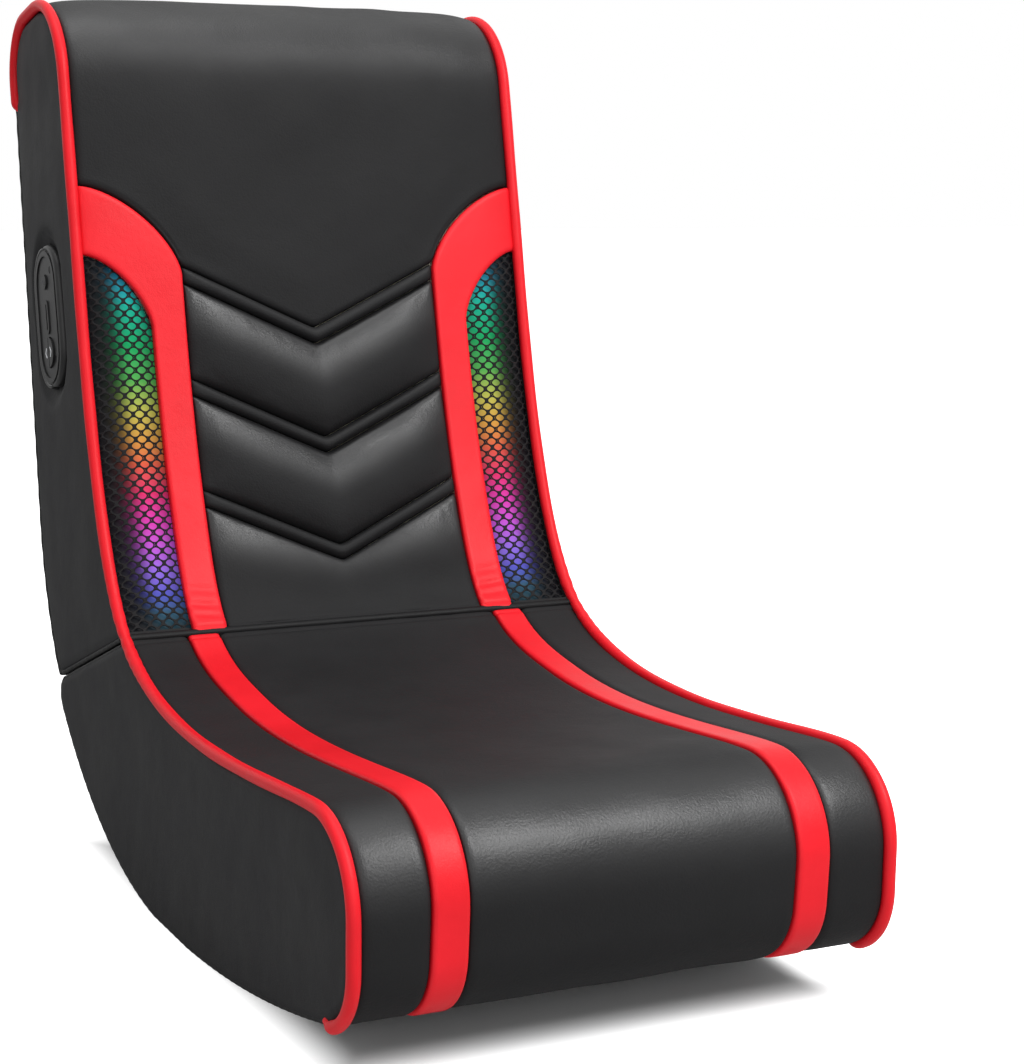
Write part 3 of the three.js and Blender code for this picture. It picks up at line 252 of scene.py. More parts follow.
def unit(v):
    return v / np.maximum(np.linalg.norm(v, axis=-1, keepdims=True), 1e-9)


def angle(a, b):
    return math.atan2(b[1] - a[1], b[0] - a[0])


class Spine:
    def __init__(self, place, *runs):
        p = place(np.vstack([runs[0]] + [run[1:] for run in runs[1:]]))
        keep = np.r_[True, np.linalg.norm(np.diff(p, axis=0), axis=1) > 1e-4]
        self.p = p[keep]
        self.s = np.r_[0, np.cumsum(np.linalg.norm(np.diff(self.p, axis=0), axis=1))]
        d = unit(np.gradient(self.p, self.s, axis=0))
        self.n = np.stack([-d[:, 1], d[:, 0]], 1)
        self.length = float(self.s[-1])

    def at(self, s, lift=0.0):
        s = np.asarray(s, float)
        p, n = (np.stack([np.interp(s, self.s, v[:, k]) for k in (0, 1)], -1) for v in (self.p, self.n))
        return p + unit(n) * np.asarray(lift)[..., None]


def fillet_centre(circle, circle_radius, point, direction, inward, radius):
    start = point + inward * radius
    offset = start - circle
    half = offset @ direction
    reach = circle_radius - radius
    return start + direction * (-half + math.sqrt(half * half - offset @ offset + reach * reach))


def facing(degrees):
    return np.array([math.cos(math.radians(degrees)), math.sin(math.radians(degrees))])


CREASE = np.array([489.0, 216.0])
BUTT = facing(-20)
BUTT_INWARD = np.array([BUTT[1], -BUTT[0]])
AXIS = CREASE + BUTT * 4.5


def stand(p):
    """Layout to the chair's place on the floor."""
    return p - np.array([SHIFT, 0.0])


def turned(v, a):
    return np.array([v[0] * math.cos(a) - v[1] * math.sin(a), v[0] * math.sin(a) + v[1] * math.cos(a)])


def lean_back(p):
    """The back's own upright frame to its place, leaning about the hinge axis."""
    p = np.asarray(p, float)
    c, s = math.cos(LEAN), math.sin(LEAN)
    y = AXIS[0] + p[..., 0] * c + p[..., 1] * s
    z = AXIS[1] - p[..., 0] * s + p[..., 1] * c
    return stand(np.stack([y, z], -1))


def seat_spines():
    sole, rear, toe, roll, heel = 1450.0, 425.0, 52.0, 62.0, 18.0  # radii
    rest, roll_height, flat = 394.0, 124.0, 1.0  # floor contact, the roll's middle, and the sole's flat depth
    roll_top = roll_height + roll
    sole_hub, rear_hub = np.array([rest, sole - flat]), np.array([rest, rear - flat])
    toe_hub = np.array([toe, sole_hub[1] - math.sqrt((sole - toe) ** 2 - (rest - toe) ** 2)])
    top_spine = Spine(
        stand,
        arc(toe_hub, toe, angle(sole_hub, toe_hub) + 2 * math.pi, math.pi, 24),
        line((0, toe_hub[1]), (0, roll_height)),
        arc((roll, roll_height), roll, math.pi, math.pi / 2, 40),
        curve((roll, roll_top), (136, roll_top), CREASE - facing(35) * 130, CREASE, 90),
    )
    flat_start, flat_end = (rest - math.sqrt(2 * sole), 0.0), (rest + math.sqrt(2 * rear), 0.0)
    face = AXIS + BUTT_INWARD * JOINT_HALF
    corner = fillet_centre(rear_hub, rear, face, BUTT, BUTT_INWARD, heel)
    heel_start = angle(rear_hub, corner)
    sole_spine = Spine(
        stand,
        arc(sole_hub, sole, angle(sole_hub, toe_hub), angle(sole_hub, flat_start), 50),
        line(flat_start, flat_end),
        arc(rear_hub, rear, angle(rear_hub, flat_end), heel_start, 50),
        arc(corner, heel, heel_start, angle(BUTT_INWARD, (0, 0)), 14),
        line(corner - BUTT_INWARD * heel, face, 24),
    )
    return top_spine, sole_spine


BACK_BUTT = turned(BUTT, LEAN)
BACK_INWARD = np.array([-BACK_BUTT[1], BACK_BUTT[0]])
BACK_CREASE = turned(CREASE - AXIS, LEAN)
FACE = BACK_CREASE[0] + 56.5
TOP = BACK_CREASE[1] + 557.0
TOP_REAR = FACE + 157.0
SEAM = TOP - 66.0
HEAD_FRONT, HEAD_REAR, HEAD_TOP = 75.0, 50.0, TOP - 3.0
HEAD_TURNS = (HEAD_FRONT + HEAD_REAR) * math.pi / 2
HEAD_FLATS = TOP_REAR - HEAD_REAR - FACE - HEAD_FRONT + HEAD_TOP - HEAD_REAR - SEAM


def back_spines():
    lumbar = np.array([FACE, BACK_CREASE[1] + 290])
    front_spine = Spine(
        lean_back,
        curve(BACK_CREASE, BACK_CREASE + facing(48) * 50, lumbar - (0, 175), lumbar, 90),
        line(lumbar, (FACE, HEAD_TOP - HEAD_FRONT), 20),
        arc((FACE + HEAD_FRONT, HEAD_TOP - HEAD_FRONT), HEAD_FRONT, math.pi, math.pi / 2, 46),
        line((FACE + HEAD_FRONT, HEAD_TOP), (TOP_REAR - HEAD_REAR, HEAD_TOP)),
        arc((TOP_REAR - HEAD_REAR, HEAD_TOP - HEAD_REAR), HEAD_REAR, math.pi / 2, 0, 36),
        line((TOP_REAR, HEAD_TOP - HEAD_REAR), (TOP_REAR, SEAM)),
    )
    seam = np.array([TOP_REAR, SEAM])
    heel_top, heel, foot = np.array([FACE + 181, BACK_CREASE[1] + 113]), 287.0, 10.0
    slant = angle(heel_top, seam)
    outward = np.array([math.sin(slant), -math.cos(slant)])
    heel_hub = heel_top - outward * heel
    face = BACK_INWARD * JOINT_HALF
    corner = fillet_centre(heel_hub, heel, face, BACK_BUTT, BACK_INWARD, foot)
    turn = angle(heel_hub, corner)
    rear_spine = Spine(
        lean_back,
        line(seam, heel_top, 30),
        arc(heel_hub, heel, angle((0, 0), outward), turn, 36),
        arc(corner, foot, turn, angle(BACK_INWARD, (0, 0)), 12),
        line(corner - BACK_INWARD * foot, face, 24),
    )
    return front_spine, rear_spine


seat_top, seat_sole = seat_spines()
back_front, back_rear = back_spines()
CREASE_POINT = stand(CREASE)
HINGE_AXIS = stand(AXIS)
REAR_CORNER = back_rear.length - np.linalg.norm(back_rear.p[-24] - back_rear.p[-1]) - 10.0


# Padding heights

def smooth(t):
    t = np.clip(t, 0, 1)
    return t * t * (3 - 2 * t)


def hill(distance, width):
    """1 at no distance, and fading evenly on both sides."""
    return np.exp(-((distance / width) ** 2))


def crown(spine, x, s):
    share = np.sqrt(1 - np.minimum(np.abs(x) / (PAD_REACH + 1), 1) ** 6)
    return CROWN * share * smooth(s / CROWN_FADE) * smooth((spine.length - s) / CROWN_FADE)


def seam_roll(distance, width, depth):
    """How far a sewn edge turns down, at a distance from the seam."""
    t = np.clip(distance / width, 0, 1)
    return -depth * (1 - np.sqrt(1 - (1 - t) ** 2))


def ripples(x, s, seed, size, count=14):
    """Soft uneven waves about 1 high, in all directions."""
    rng = np.random.default_rng(seed)
    total = 0
    for _ in range(count):
        a = rng.uniform(-math.pi / 2, math.pi / 2)
        k = 2 * math.pi / (size * rng.uniform(0.65, 1.7))
        total = total + np.sin(k * (x * math.cos(a) + s * math.sin(a)) + rng.uniform(0, 2 * math.pi))
    return total / math.sqrt(count)


def lanes(count, ease=0.75):
    """Shares from 0 to 1, closer together near both ends."""
    t = np.linspace(0, 1, count)
    return (1 - ease) * t + ease * (0.5 - 0.5 * np.cos(math.pi * t))


def across(x0, x1, count, ease):
    """One row of places from x0 to x1."""
    return (x0 + (x1 - x0) * lanes(count, ease))[None, :]


def strips(inner, outer, reach, lap):
    """Ends of the centre, of the left and right stripe, and of the left and right edge panel."""
    pairs = ((inner + lap, outer - lap), (outer + lap, reach))
    return [(-inner + lap, inner - lap)] + [ends for a, b in pairs for ends in ((-b, -a), (a, b))]


def nearest(points, outline):
    """The distance of each point from the closest point of an outline."""
    flat = points.reshape(-1, 1, 2)
    best = np.full(len(flat), 1e9)
    for k in range(0, len(flat), 2000):
        best[k:k + 2000] = np.linalg.norm(flat[k:k + 2000] - outline[None], axis=2).min(1)
    return best.reshape(points.shape[:-1])


# Meshes

def make_object(name, shape, material, body=None, replaces=(), sharp=40, attributes=()):
    mesh = bpy.data.meshes.new(name)
    mesh.from_pydata([tuple(v) for v in np.asarray(shape[0]) * MM], [], [tuple(f) for f in shape[1]])
    mesh.validate()
    mesh.polygons.foreach_set("use_smooth", [True] * len(mesh.polygons))
    mesh.set_sharp_from_angle(angle=math.radians(sharp))
    for key, values in dict(attributes).items():
        mesh.attributes.new(key, "FLOAT", "POINT").data.foreach_set("value", np.asarray(values, np.float32).ravel())
    mesh.materials.append(material)
    obj = bpy.data.objects.new(name, mesh)
    bpy.context.collection.objects.link(obj)
    if body:
        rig.ride(obj, body)
    if replaces:
        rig.replaces(obj, *replaces)
    return obj


def grid_faces(rows, cols, start=0, flip=False, ring=False):
    faces = []
    for j in range(rows - 1):
        for i in range(cols if ring else cols - 1):
            k = (i + 1) % cols
            low, high = start + j * cols, start + (j + 1) * cols
            faces.append((low + i, high + i, high + k, low + k) if flip else (low + i, low + k, high + k, high + i))
    return faces


def slab(outer, inner):
    """A closed pad between an outer and an inner grid of points."""
    rows, cols = outer.shape[:2]
    verts = np.vstack([outer.reshape(-1, 3), inner.reshape(-1, 3)])
    a, b, c = outer[rows // 2, cols // 2], outer[rows // 2, cols // 2 + 1], outer[rows // 2 + 1, cols // 2]
    flip = np.dot(np.cross(b - a, c - a), a - inner[rows // 2, cols // 2]) < 0
    half = rows * cols
    faces = grid_faces(rows, cols, 0, flip) + grid_faces(rows, cols, half, not flip)
    rim = [i for i in range(cols)] + [j * cols + cols - 1 for j in range(1, rows)]
    rim += [(rows - 1) * cols + i for i in range(cols - 2, -1, -1)] + [j * cols for j in range(rows - 2, 0, -1)]
    for k, a in enumerate(rim):
        b = rim[(k + 1) % len(rim)]
        faces.append((a, b, half + b, half + a) if flip else (b, a, half + a, half + b))
    return verts, faces


def on_spine(spine, x, s, lift):
    p = spine.at(s, lift)
    return np.stack([np.broadcast_to(x, p.shape[:-1]), p[..., 0], p[..., 1]], -1)


def pad(spine, x, s, lift, under):
    """A pad over a spine, from a lift down to another."""
    return slab(on_spine(spine, x, s, lift), on_spine(spine, x, s, under))


def cover(name, spine, x, s, lift, material, body, replaces, thickness=3.2, fill=0.7, polish=None):
    """A padded panel. Its polish attribute says where the leather is glossier."""
    data = {} if polish is None else {"polish": np.tile(np.broadcast_to(polish, s.shape).ravel(), 2)}
    shape = pad(spine, x, s, lift, lift - thickness)
    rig.padded(make_object(name, shape, material, body, replaces, attributes=data), fill=fill)


def closed_rings(rings, ends):
    """Faces round rows of points, with a fan to a middle point over either end."""
    count, turns = rings.shape[:2]
    faces = grid_faces(count, turns, ring=True)
    for i in range(turns):
        k = (i + 1) % turns
        faces += [(count * turns, k, i), (count * turns + 1, (count - 1) * turns + i, (count - 1) * turns + k)]
    return np.vstack([rings.reshape(-1, 3), *ends]), faces


def tube(path, side, radius, turns=14):
    """A closed round cord along points. side is a direction that the cord never follows."""
    path = np.asarray(path, float)
    along = unit(np.gradient(path, axis=0))
    wide = unit(np.cross(along, np.broadcast_to(side, path.shape)))
    up = np.cross(wide, along)
    a = np.linspace(0, 2 * math.pi, turns, endpoint=False)[None, :, None]
    r = np.broadcast_to(radius, len(path))[:, None, None]
    rings = path[:, None] + r * (wide[:, None] * np.cos(a) + up[:, None] * np.sin(a))
    return closed_rings(rings, (path[:1], path[-1:]))


def merged(parts):
    verts, faces, start = [], [], 0
    for v, f in parts:
        verts.append(v)
        faces += [tuple(start + i for i in face) for face in f]
        start += len(v)
    return np.vstack(verts), faces


# Finishes

def wire(tree, kind, inputs=(), out=0, **settings):
    """Adds a node whose inputs are numbers to set or outputs to link, and gives back one of its outputs."""
    node = tree.nodes.new("ShaderNode" + kind)
    for key, value in settings.items():
        setattr(node, key, value)
    for key, value in dict(inputs).items():
        if isinstance(value, bpy.types.NodeSocket):
            tree.links.new(value, node.inputs[key])
        else:
            node.inputs[key].default_value = value
    return node.outputs[out]


def noise(tree, where, scale, detail, rough=0.5, out="Fac"):
    return wire(tree, "TexNoise", {"Vector": where, "Scale": scale, "Detail": detail, "Roughness": rough}, out)


def object_place(tree):
    return wire(tree, "TexCoord", out="Object")


def start_group(name, **inputs):
    tree = bpy.data.node_groups.new(name, "ShaderNodeTree")
    for label, value in inputs.items():
        socket = tree.interface.new_socket(label, in_out="INPUT", socket_type="NodeSocketFloat")
        socket.default_value = value
    return tree, tree.nodes.new("NodeGroupInput").outputs


def end_group(tree, **outputs):
    for label in outputs:
        kind = "NodeSocketVector" if label == "Normal" else "NodeSocketFloat"
        tree.interface.new_socket(label, in_out="OUTPUT", socket_type=kind)
    end = tree.nodes.new("NodeGroupOutput")
    for label, source in outputs.items():
        tree.links.new(source, end.inputs[label])
    return tree


def leather_grain_group():
    """Fine pebbled grain of coated leather, with slow unevenness in its sheen."""
    tree, given = start_group("leather_grain", Pebbles=850.0, Depth=0.3, Slack=0.5)
    where = object_place(tree)
    bend = wire(tree, "VectorMath", {0: noise(tree, where, 240.0, 2.0, out="Color"), 3: 0.0011}, operation="SCALE")
    moved = wire(tree, "VectorMath", {0: where, 1: bend}, operation="ADD")
    cells = wire(tree, "TexVoronoi", {"Vector": moved, "Scale": given["Pebbles"]}, "Distance", feature="SMOOTH_F1")
    fine = noise(tree, where, 2600.0, 1.0)
    height = wire(tree, "Math", {0: cells, 1: 1.6, 2: fine}, operation="MULTIPLY_ADD")
    creases = noise(tree, where, 42.0, 4.0, 0.55)
    slack = wire(tree, "Bump", {"Height": creases, "Strength": given["Slack"], "Distance": 0.0016})
    grain = wire(tree, "Bump", {"Height": height, "Strength": given["Depth"], "Normal": slack, "Distance": 0.00035},
                 invert=True)
    return end_group(tree, Normal=grain, Patch=noise(tree, where, 14.0, 3.0, 0.6))


def weave_group():
    """Plain weave: two crossed sets of threads."""
    tree, given = start_group("plain_weave", Threads=900.0, Depth=0.4)
    where = object_place(tree)
    bands = {}
    for k, turn in enumerate(((0, 0, 0), (0.4, 0, math.pi / 2))):
        spun = wire(tree, "VectorRotate", {"Vector": where, "Rotation": turn}, rotation_type="EULER_XYZ")
        wave = {"Vector": spun, "Scale": given["Threads"], "Distortion": 1.2, "Detail": 1.0, "Detail Scale": 0.3}
        bands[k] = wire(tree, "TexWave", wave, "Fac", bands_direction="X")
    thread = wire(tree, "Math", bands, operation="MAXIMUM")
    patch = noise(tree, where, 18.0, 4.0, 0.6)
    slack = wire(tree, "Bump", {"Height": patch, "Distance": 0.003, "Strength": 0.5})
    grain = wire(tree, "Bump", {"Height": thread, "Strength": given["Depth"], "Normal": slack, "Distance": 0.0004})
    return end_group(tree, Normal=grain, Thread=thread, Patch=patch)


def wear_group():
    """A mask that is 1 on rubbed edges and 0 elsewhere."""
    tree, given = start_group("rubbed_edges", Width=0.5)
    edge = wire(tree, "NewGeometry", out="Pointiness")
    sharp = wire(tree, "MapRange", {"Value": edge, "From Min": 0.52, "From Max": 0.62})
    broken = wire(tree, "Math", {0: sharp, 1: noise(tree, object_place(tree), 60.0, 4.0)}, operation="MULTIPLY")
    mask = wire(tree, "Math", {0: broken, 1: given["Width"]}, operation="MULTIPLY", use_clamp=True)
    return end_group(tree, Mask=mask)


def colour(rgb):
    """A colour as it shows on a screen, 0 to 255, made linear."""
    shown = [c / 255 for c in rgb]
    return tuple(c / 12.92 if c <= 0.04045 else ((c + 0.055) / 1.055) ** 2.4 for c in shown) + (1.0,)


def new_material(name, **sockets):
    """A material whose named sockets hold plain values."""
    material = bpy.data.materials.new(name)
    material.use_nodes = True
    shader = material.node_tree.nodes["Principled BSDF"]
    for key, value in sockets.items():
        shader.inputs[key.replace("_", " ")].default_value = value
    return material, material.node_tree


def lead(tree, **sources):
    """Links what is given to the material's sockets."""
    for key, source in sources.items():
        tree.links.new(source, tree.nodes["Principled BSDF"].inputs[key.replace("_", " ")])


def place_group(tree, group, **values):
    node = tree.nodes.new("ShaderNodeGroup")
    node.node_tree = group
    for key, value in values.items():
        node.inputs[key].default_value = value
    return node.outputs


def two_tone(tree, factor, dark, light, dark_at=0.3, light_at=0.7):
    tone = wire(tree, "ValToRGB", {"Fac": factor}, "Color")
    points = tone.node.color_ramp.elements
    points[0].position, points[1].position = dark_at, light_at
    points[0].color, points[1].color = colour(dark), colour(light)
    return tone


def spread_value(tree, factor, low, high, low_at=0.3, high_at=0.7):
    return wire(tree, "MapRange", {"Value": factor, "From Min": low_at, "From Max": high_at, "To Min": low,
                                   "To Max": high})


def leather(name, dark, light, rough, pebbles=1100.0, depth=0.2, slack=0.35, polished=None, **sockets):
    """polished holds the roughness and specular level that a cover's polish attribute leads to."""
    material, tree = new_material(name, **sockets)
    grain = place_group(tree, GRAIN, Pebbles=pebbles, Depth=depth, Slack=slack)
    gloss = spread_value(tree, grain["Patch"], rough - 0.04, rough + 0.05)
    if polished:
        polish = wire(tree, "Attribute", out="Fac", attribute_name="polish")
        change = spread_value(tree, polish, 0.0, polished[0] - rough, 0.0, 1.0)
        gloss = wire(tree, "Math", {0: gloss, 1: change}, operation="ADD")
        level = spread_value(tree, polish, sockets["Specular_IOR_Level"], polished[1], 0.0, 1.0)
        lead(tree, Specular_IOR_Level=level)
    lead(tree, Base_Color=two_tone(tree, grain["Patch"], dark, light), Roughness=gloss, Normal=grain["Normal"])
    return material


def woven(name, dark, light, rough, threads=900.0, depth=0.4, **sockets):
    material, tree = new_material(name, **sockets)
    weave = place_group(tree, WEAVE, Threads=threads, Depth=depth)
    gloss = spread_value(tree, weave["Patch"], rough - 0.06, rough + 0.06)
    tone = two_tone(tree, weave["Thread"], dark, light, 0.2, 0.9)
    lead(tree, Base_Color=tone, Roughness=gloss, Normal=weave["Normal"])
    return material


def timber():
    material, tree = new_material("frame_wood", Roughness=0.7)
    stretched = wire(tree, "Mapping", {"Vector": object_place(tree), "Scale": (6.0, 60.0, 60.0)})
    rings = noise(tree, stretched, 2.0, 6.0)
    bump = wire(tree, "Bump", {"Height": rings, "Strength": 0.3, "Distance": 0.0005})
    lead(tree, Base_Color=two_tone(tree, rings, (168, 128, 82), (205, 170, 120)), Normal=bump)
    return material


def speckled(name, dark, light, rough, scale=400.0, bump_depth=0.0003, rubbed=False, **sockets):
    """A moulded, cast or pressed surface: fine unevenness in colour, gloss and height, paler on rubbed edges."""
    material, tree = new_material(name, **sockets)
    specks = noise(tree, object_place(tree), scale, 4.0, 0.6)
    base = two_tone(tree, specks, dark, light)
    if rubbed:
        bright = tuple(min(1.0, 2.5 * c) for c in colour(light)[:3]) + (1.0,)
        mask = place_group(tree, RUBBED, Width=0.6)["Mask"]
        base = wire(tree, "Mix", {0: mask, 6: base, 7: bright}, 2, data_type="RGBA")
    bump = wire(tree, "Bump", {"Height": specks, "Strength": 0.3, "Distance": bump_depth})
    lead(tree, Base_Color=base, Roughness=spread_value(tree, specks, rough - 0.05, rough + 0.06), Normal=bump)
    return material


GLOW_RAMP = [
    (0.00, (40, 84, 92)), (0.06, (52, 92, 118)), (0.11, (88, 92, 200)), (0.17, (150, 110, 232)),
    (0.24, (205, 90, 222)), (0.31, (230, 62, 178)), (0.38, (235, 52, 110)), (0.45, (232, 92, 70)),
    (0.52, (222, 158, 70)), (0.59, (196, 190, 84)), (0.67, (88, 178, 84)), (0.76, (22, 168, 96)),
    (0.86, (24, 178, 150)), (0.93, (40, 160, 190)), (1.00, (32, 110, 160)),
]


def glow_lining():
    """The lit lining behind the mesh: a rainbow up the back that dims toward its edges."""
    material, tree = new_material("light_lining", Roughness=0.6, Emission_Strength=1.0,
                                  Base_Color=colour((14, 14, 16)), Specular_IOR_Level=0.1)
    rise = wire(tree, "Attribute", out="Fac", attribute_name="rise")
    glow = wire(tree, "Attribute", out="Fac", attribute_name="glow")
    rainbow = wire(tree, "ValToRGB", {"Fac": rise}, "Color")
    points = rainbow.node.color_ramp.elements
    while len(points) < len(GLOW_RAMP):
        points.new(0.5)
    for point, (at, tone) in zip(points, GLOW_RAMP):
        point.position = at
        point.color = colour(tone)
    lead(tree, Emission_Color=wire(tree, "Mix", {0: glow, 6: (0.002, 0.002, 0.003, 1.0), 7: rainbow}, 2,
                                   data_type="RGBA"))
    return material


GRAIN = leather_grain_group()
WEAVE = weave_group()
RUBBED = wear_group()

BLACK_LEATHER = leather("black_leather", (19, 19, 20), (25, 25, 26), 0.66, 620.0, 0.3, polished=(0.37, 0.45),
                        Specular_IOR_Level=0.18)
RED_LEATHER = leather("red_leather", (214, 18, 30), (228, 25, 38), 0.45, 1000.0, 0.16, 0.3, Specular_IOR_Level=0.22)
SIDE_LEATHER = leather("side_leather", (21, 21, 22), (27, 27, 29), 0.62, depth=0.22, Specular_IOR_Level=0.2)
BLACK_EDGING = leather("black_edging", (10, 10, 11), (17, 17, 18), 0.5, slack=0.5, Specular_IOR_Level=0.15)
REAR_CLOTH = woven("rear_cloth", (13, 14, 18), (23, 25, 31), 0.7, Sheen_Weight=0.08, Specular_IOR_Level=0.3)
POUCH_CLOTH = woven("pouch_cloth", (12, 14, 24), (24, 28, 44), 0.5, 1300.0, Sheen_Weight=0.3)
THREAD = woven("stitch_thread", (20, 20, 21), (44, 44, 46), 0.7, 2400.0)
NET = woven("mesh_net", (8, 8, 9), (18, 18, 20), 0.7, 1600.0, 0.3, Specular_IOR_Level=0.2)
LINING = glow_lining()
FOAM = speckled("foam", (205, 198, 176), (228, 222, 204), 0.95, 700.0, 0.0008)
WOOD = timber()
FIBREBOARD = speckled("fibreboard", (128, 100, 68), (156, 126, 90), 0.9, 500.0)
STEEL = speckled("hinge_steel", (140, 142, 146), (172, 174, 178), 0.35, 900.0, 0.0001, True, Metallic=1.0)
SCREW_STEEL = speckled("screw_steel", (8, 8, 9), (14, 14, 15), 0.5, 900.0, 0.0001, True, Specular_IOR_Level=0.2)
CIRCUIT = speckled("circuit_board", (24, 84, 46), (36, 104, 60), 0.45, 600.0, 0.0001)
PLASTIC = speckled("control_plastic", (15, 15, 16), (21, 21, 22), 0.4, 1400.0, 0.00008, True,
                   Specular_IOR_Level=0.35)
STRIP_LIGHT = speckled("light_strip", (225, 228, 232), (244, 246, 248), 0.35, 500.0, 0.0001,
                       Emission_Color=(0.75, 0.85, 1.0, 1.0), Emission_Strength=0.4)
PRINT_GREY = speckled("faint_print", (70, 71, 74), (86, 87, 90), 0.5, 800.0, 0.00005)
PRINT_WHITE = speckled("button_print", (205, 207, 210), (228, 230, 232), 0.5, 800.0, 0.00005)


def finish_frame():
    """Finishes for the frame, hinges and controls, by the words in their names."""
    finishes = (
        (".*(side_board|rocker_board|rail|deck|base_panel)", WOOD), ("back_panel$", FIBREBOARD),
        ("hinge_", STEEL), ("control_screw", SCREW_STEEL), ("control_circuit$", CIRCUIT),
        ("control_(bezel|housing)$|.*_button$", PLASTIC), ("light_strip", STRIP_LIGHT),
    )
    for name, node in frame["nodes"].items():
        for words, material in finishes:
            for held in node.material_slots if re.match(words, name) else ():
                held.link = "OBJECT"
                held.material = material
    for name in ("control_bezel", "power_button", "previous_button", "next_button"):
        edge = frame["nodes"][name].modifiers.new("softened_edges", "BEVEL")
        edge.width = 0.0005
        edge.segments = 3
        edge.angle_limit = math.radians(35)
        edge.harden_normals = False


# Seat covers

def seat_covers():
    end = seat_top.length - CREASE_RELIEF
    s = lanes(220, 0.35)[:, None] * end
    names = ("centre", "stripe_left", "stripe_right", "edge_left", "edge_right")
    nodes = ("cover_centre", "stripe_left", "stripe_right", "cover_left", "cover_right")
    plans = zip(names, nodes, (90, 24, 24, 32, 32), strips(STRIPE_INNER, STRIPE_OUTER, PAD_REACH + 1.0, STRIPE_LAP))
    for k, (name, node, cols, ends) in enumerate(plans):
        red = "stripe" in name
        x, along = np.broadcast_arrays(across(*ends, cols, 0.9), s)
        width, depth, puff, slack = (2.6, 3.6, STRIPE_PUFF, 0.12) if red else (3.6, 7.0, 0.0, 0.45)
        lift = crown(seat_top, x, along) + puff
        for edge in ends:
            lift = lift + seam_roll(np.abs(x - edge), depth, width)
        inside = smooth(np.minimum(np.abs(x - ends[0]), np.abs(x - ends[1])) / 14.0)
        uneven = slack * ripples(x, along, 11 + k, 95.0) * smooth((end - along) / 12.0)
        lift = lift + inside * uneven + seam_roll(end - along, *CREASE_ROLL)
        cover(f"seat_{name}_cover", seat_top, x, along, lift, RED_LEATHER if red else BLACK_LEATHER, "seat",
              [f"seat_{node}"], polish=hill(along - 147.0, 30.0))


# Back covers

def soft_abs(x, rounding=2.4):
    return np.sqrt(x * x + rounding * rounding) - rounding


def chevron(apex, x):
    return apex + CHEVRON_RISE * soft_abs(x) / soft_abs(ARCH_INNER)


def band_apex(k):
    return LOWEST_APEX + k * CHEVRON_PITCH


def sweep_height(start, top, inner, x):
    u = np.clip((x - inner) / (PAD_REACH - inner), 0, 1)
    return start + (top - start) * (1 - (1 - u) ** SWEEP) ** (1 / SWEEP)


def chevron_cover(name, node, low, high, rows, puff, roll, seed, slack, power=0.6, open_foot=False):
    """A panel or welt between two chevron lines. With open_foot it runs down into the crease, and dulls there."""
    edge = ARCH_INNER - ARCH_LAP
    x = across(-edge, edge, 110, 0.8)
    v = lanes(rows, 0.85)[:, None]
    tall = high(x) - low(x)
    s = low(x) + ARCH_LAP + (tall - 2 * ARCH_LAP) * v
    x = np.broadcast_to(x, s.shape)
    over = np.minimum(v, 1 - v) * tall * 0.9
    side = edge - np.abs(x)
    swell = np.sin(math.pi * v) ** power * (1 - np.abs(x / edge) ** 5)
    lift = crown(back_front, x, s)
    polish = smooth((v - 0.4) / 0.5) * (0.3 if tall.max() < 20 else 1.0)
    if open_foot:
        swell = swell * smooth((s - CREASE_RELIEF) / 75.0)
        lift = lift + seam_roll(s - CREASE_RELIEF, *CREASE_ROLL)
        over = np.where(v < 0.5, 99.0, over)
        polish = polish * smooth((s - 20.0) / 80.0)
    lift = lift + puff * swell * (1.12 - 0.24 * v) + seam_roll(over, roll, roll * 0.75) + seam_roll(side, 6.0, 3.4)
    away = smooth(np.minimum(over, side) / 16.0)
    pull = 0.3 * np.sin(x / 4.2 + 2.5 * ripples(x, s, seed + 3, 55.0)) * hill(over - 6.0, 7.0)
    lift = lift + away * (slack * ripples(x, s, seed, 70.0) + pull)
    cover(name, back_front, x, s, lift, BLACK_LEATHER, "back", [node], fill=0.8, polish=polish)


def chevron_covers():
    def edge_line(k, over=0.0):
        return lambda x: chevron(band_apex(k) + over, x)

    chevron_cover("lumbar_cover", "lumbar_panel", lambda x: np.full_like(x, CREASE_RELIEF), edge_line(0), 70, 8.0, 6.0,
                  31, 0.9, 0.5, open_foot=True)
    for k in range(2):
        chevron_cover(f"chevron_cover_{k + 1}", f"chevron_panel_{k + 1}", edge_line(k, BAND_TALL), edge_line(k + 1),
                      60, 13.0, 6.0, 41 + k, 0.4)
    for k in range(3):
        chevron_cover(f"chevron_welt_{k + 1}", f"chevron_band_{k + 1}", edge_line(k), edge_line(k, BAND_TALL),
                      26, 3.2, 4.6, 51 + k, 0.12, 0.7)


def head_low(x):
    x = np.abs(x)
    swept = np.where(x > ARCH_INNER, sweep_height(ARCH_INNER_RISE, ARCH_TOP, ARCH_INNER, x), 0)
    return np.maximum(chevron(band_apex(2) + BAND_TALL, np.minimum(x, ARCH_INNER)), swept) + 0.4


